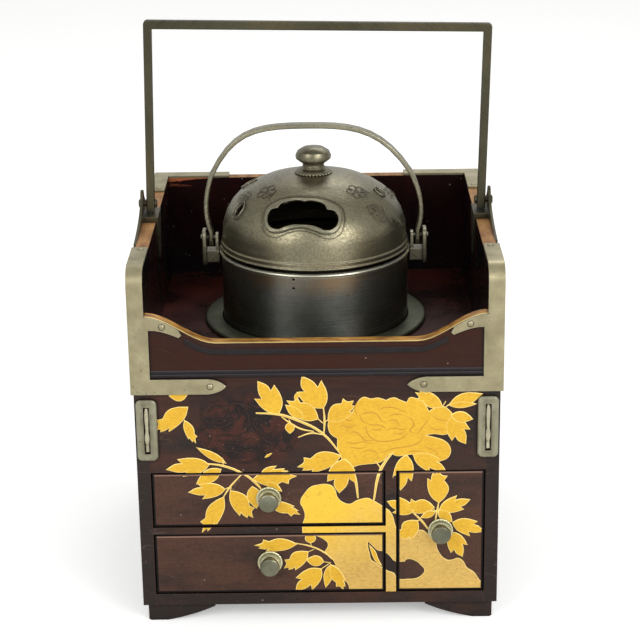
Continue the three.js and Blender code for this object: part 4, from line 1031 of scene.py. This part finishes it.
# The whole ornament laid at one face, then cut to a panel (m): left, right, under, top
def ornamentOn(face, panel):
    left, right, under, top = panel
    bm = bmesh.new()

    def reaches(points):
        xs, zs = [point[0] * mm for point in points], [point[1] * mm for point in points]
        room = raised["room"] * mm
        wide = max(xs) > left - room and min(xs) < right + room
        return wide and max(zs) > under - room and min(zs) < top + room

    if reaches(rock):
        layOn(bm, flatShape([rock, hollow]), face, raised["rock"], rockGold)
        layOn(bm, flatShape([sliver]), face, raised["leaf"], bodyGold)
    if reaches(peony):
        layOn(bm, flatShape([peony]), face, raised["peony"], bodyGold)
        proud = raised["peony"] + raised["petalOver"]
        for line in petalLines:
            layOn(bm, drawnLine(line, raised["petal"]), face, proud, lineGold)
    for index, (width, points) in enumerate(stems):
        if reaches(points):
            proud = raised["stem"] + raised["step"] * (index % 5)
            layOn(bm, drawnLine(points, width / 2), face, proud, bodyGold)
    for index, row in enumerate(leaves):
        if not reaches([row[0:2], row[2:4]]):
            continue
        rim = min(raised["rim"], row[4] * 0.12)
        proud = raised["leaf"] + raised["step"] * (index % 7)
        layOn(bm, flatShape([leafPoints(row, rim)], rim, False), face, proud, bodyGold)
        if math.hypot(row[2] - row[0], row[3] - row[1]) > raised["veinsFrom"]:
            for vein in leafVeins(row):
                layOn(bm, drawnLine(vein, raised["vein"]), face, proud + raised["veinOver"], lineGold)
    if bm.faces:
        for edge, sign in ((left, -1), (right, 1)):
            cutPlane(bm, (edge, 0, 0), (sign, 0, 0))
        for edge, sign in ((under, -1), (top, 1)):
            cutPlane(bm, (0, 0, edge), (0, 0, sign))
    return bm


def panelOf(name, inset=0.0012):
    low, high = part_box(name)
    return low.x + inset, high.x - inset, low.z + inset, high.z - inset


def newMesh(name, bm):
    mesh = bpy.data.meshes.new(name)
    bm.to_mesh(mesh)
    bm.free()
    return mesh


def finishPiece(name, bm, materials, body):
    mesh = newMesh(name, bm)
    for material in materials:
        mesh.materials.append(material)
    piece = addObject(name, mesh)
    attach(piece, body)
    return piece


def addGold(name, body, panels):
    whole = bmesh.new()
    for face, panel in panels:
        mesh = newMesh("part", ornamentOn(face, panel))
        whole.from_mesh(mesh)
        bpy.data.meshes.remove(mesh)
    finishPiece(name, whole, [goldBody, goldRock, goldLine], body)
    print(name, "made")


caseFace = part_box("front_fascia")[0].y
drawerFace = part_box("upper_drawer_front")[0].y
trim = 0.0002
fasciaPanel = panelOf("front_fascia", 0)
shelfLeft, _, shelfUnder, shelfTop = panelOf("drawer_shelf", 0)
partLeft, partRight, partUnder, _ = panelOf("drawer_partition", trim)
casePanels = [
    (caseFace, fasciaPanel),
    (caseFace, (shelfLeft, partLeft, shelfUnder + trim, shelfTop - trim)),
    (caseFace, (partLeft, partRight, partUnder, fasciaPanel[2])),
]
addGold("goldOnCase", "case", casePanels)
for piece, drawer in zip(("goldOnUpperDrawer", "goldOnLowerDrawer", "goldOnTallDrawer"), drawers):
    addGold(piece, drawer, [(drawerFace, panelOf(drawer + "_front"))])


# The worn peony on the left of the fascia: only its raised lines are left, black on black

def makeWornPeony():
    bm = bmesh.new()
    for line in ghostLines:
        layOn(bm, drawnLine(line, raised["ghost"]), caseFace, raised["ghostOver"], 0)
    finishPiece("wornPeony", bm, [blackLacquer], "case")


makeWornPeony()


# Pulls with a flat face, and fluted rosettes behind them

pull = {
    "steps": 48,
    # radius and distance out from the drawer's face, mm
    "profile": [(0, 8.25), (2.6, 8.2), (4.6, 8.1), (5.2, 7.9), (5.55, 7.4), (5.6, 5.8), (5.1, 4.9),
                (3.4, 4.2), (2.8, 3.4), (2.8, 2.2), (3.5, 1.6), (3.8, 1.2), (1.5, 1.2), (1.5, -7.3),
                (3.6, -7.3), (3.6, -8.9), (0, -8.9)],
}

rosette = {
    "steps": 144,
    "profile": [(1.9, 0), (7.1, 0), (7.3, 0.45), (7.0, 0.95), (6.5, 1.1), (6.0, 0.95), (5.0, 0.75),
                (4.4, 1.15), (1.9, 1.2)],
    "flutes": 24,
    "fluteFrom": 4.6,  # mm from the middle
    "fluteOver": 0.3,  # and this far out
    "fluteDepth": 0.07,
    "scallop": 0.005,  # share of the radius
}


def smoothFaces(bm):
    for face in bm.faces:
        face.smooth = True


def smoothAll(bm):
    bmesh.ops.recalc_face_normals(bm, faces=bm.faces[:])
    smoothFaces(bm)


def spunForwards(profile, steps, closed=False):
    bm = bmesh.new()
    verts = [bm.verts.new((radius * mm, -out * mm, 0)) for radius, out in profile]
    edges = [bm.edges.new(pair) for pair in zip(verts, verts[1:])]
    if closed:
        edges.append(bm.edges.new((verts[-1], verts[0])))
    bmesh.ops.spin(bm, geom=verts + edges, cent=(0, 0, 0), axis=(0, 1, 0), angle=2 * math.pi,
                   steps=steps, use_merge=True)
    bmesh.ops.remove_doubles(bm, verts=bm.verts[:], dist=joining["within"])
    smoothAll(bm)
    return bm


def makePull(drawer, x, z):
    bm = spunForwards(pull["profile"], pull["steps"])
    bmesh.ops.translate(bm, verts=bm.verts[:], vec=(x, drawerFace, z))
    knob = finishPiece(drawer + "PullKnob", bm, [pullMetal], drawer)
    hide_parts(drawer + "_pull")
    bm = spunForwards(rosette["profile"], rosette["steps"], closed=True)
    for vert in bm.verts:
        reach = math.hypot(vert.co.x, vert.co.z)
        if reach > rosette["fluteFrom"] * mm and vert.co.y < -rosette["fluteOver"] * mm:
            wave = math.cos(rosette["flutes"] * math.atan2(vert.co.z, vert.co.x))
            vert.co.y -= rosette["fluteDepth"] * mm * wave
            vert.co.x *= 1 + rosette["scallop"] * wave
            vert.co.z *= 1 + rosette["scallop"] * wave
    bmesh.ops.translate(bm, verts=bm.verts[:], vec=(x, drawerFace, z))
    disc = finishPiece(drawer + "PullRosette", bm, [rosetteMetal], drawer)
    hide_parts(drawer + "_rosette")


for drawer in drawers:
    low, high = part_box(drawer + "_rosette")
    makePull(drawer, (low.x + high.x) / 2, (low.z + high.z) / 2)
print("pulls made")


# Leaves of the pipe rests: a narrow tongue with an oval boss low down

rest = {
    "boss": 0.34,  # share of the height
    "reach": 1.35,  # mm either side of the middle
    "bossWidth": 1.5,
    "bossHeight": 4.4,
    "bossProud": 0.6,
    "rim": 0.8,
    "flat": 0.1,  # how far the tongue's face lies behind the boss
    "shoulder": 1.2,  # from the top down to the tongue's corners
    "taper": 0.85,  # share of the reach that is left there
    "footGap": 0.4,
}


def makeRest(side):
    low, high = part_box("pipe_rest_" + side)
    x, width = (low.x + high.x) / 2 / mm, (high.x - low.x) / 2 / mm
    foot, top = low.z / mm, high.z / mm
    boss = foot + (top - foot) * rest["boss"]
    tall = rest["bossHeight"]
    reach = rest["reach"]
    right = [(reach, foot + rest["footGap"], True), (reach, boss - tall), (width, boss),
             (reach, boss + tall), (reach * rest["taper"], top - rest["shoulder"])]
    outline = [(x + across, up, *sharp) for across, up, *sharp in right] + [(x, top)]
    outline += [(x - across, up, *sharp) for across, up, *sharp in reversed(right)]
    bm = bmesh.new()
    layOn(bm, flatShape([outline], rest["rim"]), high.y, (high.y - low.y) / mm - rest["flat"], 0)
    spread = Matrix.Diagonal((rest["bossWidth"] * mm, rest["bossProud"] * mm, tall * mm, 1))
    place = Matrix.Translation((x * mm, low.y, boss * mm))
    bmesh.ops.create_uvsphere(bm, u_segments=24, v_segments=16, radius=1, matrix=place @ spread)
    smoothFaces(bm)
    leaf = finishPiece("pipeRestLeaf_" + side, bm, [restMetal], "pipe_rest_" + side)
    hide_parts("pipe_rest_" + side)


makeRest("left")
makeRest("right")
print("pipe rests made")


# Dark ring of painted shade round the foot of each rivet of the corner mounts, found from the rivets' own
# tips

rivet = {"rise": 0.6, "line": 1.78, "radius": 0.17, "within": 0.02}  # mm


def ring(width, height, steps=28):
    turns = [2 * math.pi * step / steps for step in range(steps)]
    return [(width * math.cos(t), height * math.sin(t)) for t in turns]


def tubeMesh(points, radius, closed=False):
    curve = bpy.data.curves.new("tube", "CURVE")
    curve.dimensions, curve.bevel_depth, curve.bevel_resolution = "3D", radius * mm, 2
    curve.use_fill_caps = not closed
    spline = curve.splines.new("POLY")
    spline.points.add(len(points) - 1)
    spline.use_cyclic_u = closed
    for point, place in zip(spline.points, points):
        point.co = (*place, 1)
    return curveMesh(curve)


def rivetTips(name, out):
    corners = [vertex.co for vertex in nodes[name].data.vertices]
    far = max(corner.dot(out) for corner in corners) - rivet["within"] * mm
    tips = []
    for corner in corners:
        if corner.dot(out) > far and all((corner - tip).length > mm for tip in tips):
            tips.append(corner)
    return tips


def makeRivetShadeRings():
    bm = bmesh.new()
    for end, forward in (("front", -1), ("back", 1)):
        for side, outward in (("left", -1), ("right", 1)):
            name = "corner_mount_" + end + "_" + side
            for out in (Vector((0, forward, 0)), Vector((outward, 0, 0)), Vector((0, 0, 1))):
                up = out.orthogonal().normalized()
                across = out.cross(up)
                for tip in rivetTips(name, out):
                    middle = tip - out * rivet["rise"] * mm
                    around = ring(rivet["line"], rivet["line"])
                    circle = [middle + (up * x + across * z) * mm for x, z in around]
                    bm.from_mesh(tubeMesh(circle, rivet["radius"], True))
    smoothAll(bm)
    finishPiece("rivetShadeRings", bm, [rivetShadeMetal], "case")


makeRivetShadeRings()
print("rivet lines made")


# Borders and engraving on the lid, wrapped round the dome

lid = {
    "middle": (-1.0, 6.95),  # mm
    "bandTop": 201.9,
    "radius": 56.4,
    "squareness": 2.4,
    "cloudRise": 27.0,  # middle of the opening above the top of the band
    "cloudAngle": -8.0,  # degrees round from the front
    "cloudWidth": 21.0,  # half the opening, mm
    "cloudHeight": 10.0,
    "borderOver": 1.1,  # how far its border reaches past the opening
    "borderProud": 0.32,
    "grooveOut": 3.0,
    "grooveLine": 0.2,
    "dropEdge": 0.42,
    "engraving": 0.17,
    "beads": 32,
    "beadRadius": 0.9,
    "beadsIn": 0.3,  # from the knob's edge to the beads' middles
    "beadsUp": 0.2,
    "search": (12.0, -25.0),  # how far out and in of a drawing the dome is looked for
    "halvings": 28,
}

# inner and outer edge of the border in shares of half the width and height
cloudInner = [
    (0, 0.87, True), (0.14, 0.98), (0.34, 0.95), (0.55, 0.78), (0.65, 0.42, True), (0.86, 0.36),
    (0.98, -0.1), (0.87, -0.72), (0.58, -0.92), (0.3, -0.79), (0, -0.72), (-0.3, -0.79), (-0.6, -0.92),
    (-0.87, -0.72), (-0.98, -0.1), (-0.9, 0.38), (-0.72, 0.46, True), (-0.62, 0.8), (-0.34, 0.95),
    (-0.14, 0.98),
]
cloudOuter = [
    (0, 1.06), (0.36, 1.03), (0.66, 0.88), (0.9, 0.62), (1.02, 0.0), (0.9, -0.8), (0.6, -1.02),
    (0.3, -0.88), (0, -0.8), (-0.3, -0.88), (-0.62, -1.02), (-0.9, -0.8), (-1.02, 0.0), (-0.92, 0.6),
    (-0.68, 0.88), (-0.36, 1.03),
]
# angle round, rise, half width and half height of the small openings
lidDrops = [(-64, 23.0, 4.6, 5.8), (-100, 31.5, 2.8, 5.4), (73, 30.5, 3.4, 4.0)]


def scaledOutline(points, width, height):
    return [(x * width, z * height, *sharp) for x, z, *sharp in points]


# Where a drawing touches the dome: its centre, its three directions and the dome's height
def domeFrame(angle, rise):
    n = lid["squareness"]
    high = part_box("bowl_lid")[1].z / mm - lid["bandTop"]
    reach = lid["radius"] * (1 - (rise / high) ** n) ** (1 / n)
    slope = Vector(((reach / lid["radius"]) ** (n - 1) / lid["radius"], (rise / high) ** (n - 1) / high))
    slope.normalize()
    turn = Matrix.Rotation(math.radians(angle), 3, "Z")
    out, side = turn @ Vector((0, -1, 0)), turn @ Vector((1, 0, 0))
    normal = out * slope.x + Vector((0, 0, 1)) * slope.y
    up = Vector((0, 0, 1)) * slope.x - out * slope.y
    centre = Vector((*lid["middle"], lid["bandTop"] + rise)) + out * reach
    return centre, side, up, normal, high


# The point of the dome under one of a flat drawing, mm, found by halving the distance to it
def domeSpot(place, across, upwards):
    centre, side, up, normal, high = place
    n = lid["squareness"]
    near, far = lid["search"]
    start = centre + side * across + up * upwards
    for _ in range(lid["halvings"]):
        middle = (near + far) / 2
        spot = start + normal * middle
        reach = math.hypot(spot.x - lid["middle"][0], spot.y - lid["middle"][1])
        level = max(spot.z - lid["bandTop"], 0.0)
        outside = (reach / lid["radius"]) ** n + (level / high) ** n > 1
        near, far = (middle, far) if outside else (near, middle)
    return start + normal * near


def wrapMesh(bm, mesh, place):
    for vertex in mesh.vertices:
        x, y, z = vertex.co
        vertex.co = (domeSpot(place, x, y) + place[3] * z) * mm
    bm.from_mesh(mesh)
    bpy.data.meshes.remove(mesh)


def drawOnDome(bm, place, points, radius, closed=False):
    mesh = tubeMesh([domeSpot(place, x, z) * mm for x, z in points], radius, closed)
    bm.from_mesh(mesh)
    bpy.data.meshes.remove(mesh)


def makeCloudBorder():
    place = domeFrame(lid["cloudAngle"], lid["cloudRise"])
    width, height, over = lid["cloudWidth"], lid["cloudHeight"], lid["borderOver"]
    inner = scaledOutline(cloudInner, width, height)
    outer = scaledOutline(cloudOuter, width + over, height + over)
    mesh = flatShape([outer, inner], lid["borderProud"])
    bm = bmesh.new()
    wrapMesh(bm, mesh, place)
    for angle, rise, wide, tall in lidDrops:
        drawOnDome(bm, domeFrame(angle, rise), ring(wide, tall), lid["dropEdge"], True)
    smoothAll(bm)
    finishPiece("cloudBorder", bm, [borderMetal], "bowl_lid")


# One blossom: five round petals, a small centre and a sprig of leaves
def blossomLines(size, lean):
    lines = []
    for petal in range(5):
        turn = lean + petal * 2 * math.pi / 5
        x, z = 0.62 * size * math.cos(turn), 0.62 * size * math.sin(turn)
        arc = [turn + math.pi * (step / 9 - 0.5) * 1.5 for step in range(10)]
        lines.append([(x + 0.42 * size * math.cos(t), z + 0.42 * size * math.sin(t)) for t in arc])
    lines.append(ring(0.22 * size, 0.22 * size, 12))
    for reach in (0.9, 1.5):
        lines.append([(size * (0.9 + 0.25 * reach * t), size * (0.3 - reach * t + 0.35 * t * t))
                      for t in (0, 0.25, 0.5, 0.75, 1)])
    return lines


# One leaf: its two edges, the middle line and three pairs of veins
def leafLines(length, width, lean):
    steps = [step / 8 for step in range(9)]
    edge = [(width * math.sin(math.pi * t) * (0.7 + 0.3 * t), length * (t - 0.5)) for t in steps]
    other = [(-x, z) for x, z in edge]
    veins = [[(0, length * (t - 0.5)), (side * width * 0.6, length * (t - 0.34))]
             for t in (0.25, 0.45, 0.65) for side in (1, -1)]
    cos, sin = math.cos(lean), math.sin(lean)
    lines = [edge, other, [(0, -length * 0.7), (0, length * 0.4)], *veins]
    return [[(x * cos - z * sin, x * sin + z * cos) for x, z in line] for line in lines]


def makeLidEngraving():
    bm = bmesh.new()
    sprigs = [(-53, 34, blossomLines(6.0, 0.4)), (-72, 29, blossomLines(4.6, 1.1)),
              (47, 34, blossomLines(6.0, 0.2)), (88, 27, blossomLines(4.6, 0.8)),
              (52, 23, leafLines(18, 6.5, 0.7)), (66, 15, leafLines(10, 3.2, 0.9))]
    for angle, rise, lines in sprigs:
        place = domeFrame(angle, rise)
        for line in lines:
            drawOnDome(bm, place, line, lid["engraving"])
    place = domeFrame(lid["cloudAngle"], lid["cloudRise"])
    groove = lid["grooveOut"]
    curve = bpy.data.curves.new("groove", "CURVE")
    curve.dimensions, curve.resolution_u = "3D", 5
    addOutline(curve, scaledOutline(cloudOuter, lid["cloudWidth"] + groove, lid["cloudHeight"] + groove))
    around = [(vertex.co.x, vertex.co.y) for vertex in curveMesh(curve).vertices]
    drawOnDome(bm, place, around, lid["grooveLine"], True)
    smoothAll(bm)
    finishPiece("lidEngraving", bm, [engravedMetal], "bowl_lid")


def makeKnobBeads():
    low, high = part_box("lid_knob")
    middle = (low + high) / 2
    reach = (high.x - low.x) / 2 - lid["beadsIn"] * mm
    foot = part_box("bowl_lid")[1].z + lid["beadsUp"] * mm
    bm = bmesh.new()
    for index in range(lid["beads"]):
        angle = 2 * math.pi * index / lid["beads"]
        place = Vector((middle.x + reach * math.cos(angle), middle.y + reach * math.sin(angle), foot))
        bmesh.ops.create_icosphere(bm, subdivisions=2, radius=lid["beadRadius"] * mm,
                                   matrix=Matrix.Translation(place))
    smoothAll(bm)
    finishPiece("knobBeads", bm, [borderMetal], "bowl_lid")


makeCloudBorder()
makeLidEngraving()
makeKnobBeads()
print("lid work made")


# Stage

stage = {
    "skyStrength": 0.66,
    "mirrored": 0.72,  # how bright the room is in reflections
    "floorSize": 2.2,
    "floorColour": (0.86, 0.86, 0.86 * 0.985, 1),
    "floorLift": 0.34,
}


def makeFloor():
    bm = bmesh.new()
    bmesh.ops.create_grid(bm, x_segments=1, y_segments=1, size=stage["floorSize"])
    mesh = newMesh("floor", bm)
    floor = addObject("floor", mesh)
    material, tree, shader = startMaterial("paperFloor")
    setInputs(tree, shader, {"Base Color": stage["floorColour"], "Roughness": 0.8,
                             "Specular IOR Level": 0.1})
    seen = addNode(tree, "ShaderNodeLightPath").outputs["Is Camera Ray"]
    glow = addNode(tree, "ShaderNodeEmission", {"Strength": times(tree, seen, stage["floorLift"])})
    both = addNode(tree, "ShaderNodeAddShader", {0: shader.outputs[0], 1: glow.outputs[0]})
    setInputs(tree, tree.nodes["Material Output"], {"Surface": both.outputs[0]})
    mesh.materials.append(material)


def makeWorld():
    world = bpy.data.worlds.new("studio")
    world.use_nodes = True
    bpy.context.scene.world = world
    tree = world.node_tree
    soft = tree.nodes["Background"]
    setInputs(tree, soft, {"Strength": stage["skyStrength"], "Color": (1, 1, 1, 1)})
    white, dim = (addNode(tree, "ShaderNodeBackground", {"Color": (1, 1, 1, 1), "Strength": strength})
                  for strength in (1.0, stage["mirrored"]))
    path = addNode(tree, "ShaderNodeLightPath").outputs
    seen = plus(tree, path["Is Camera Ray"], path["Is Transmission Ray"], clamp=True)
    inputs = {0: path["Is Glossy Ray"], 1: soft.outputs[0], 2: dim.outputs[0]}
    room = addNode(tree, "ShaderNodeMixShader", inputs)
    whole = addNode(tree, "ShaderNodeMixShader", {0: seen, 1: room.outputs[0], 2: white.outputs[0]})
    setInputs(tree, tree.nodes["World Output"], {"Surface": whole.outputs[0]})


makeFloor()
makeWorld()
for name, (place, size, power) in lamps.items():
    makeLamp(name, place, size, power)
bpy.context.scene.view_settings.view_transform = "Standard"

print("scene ready")
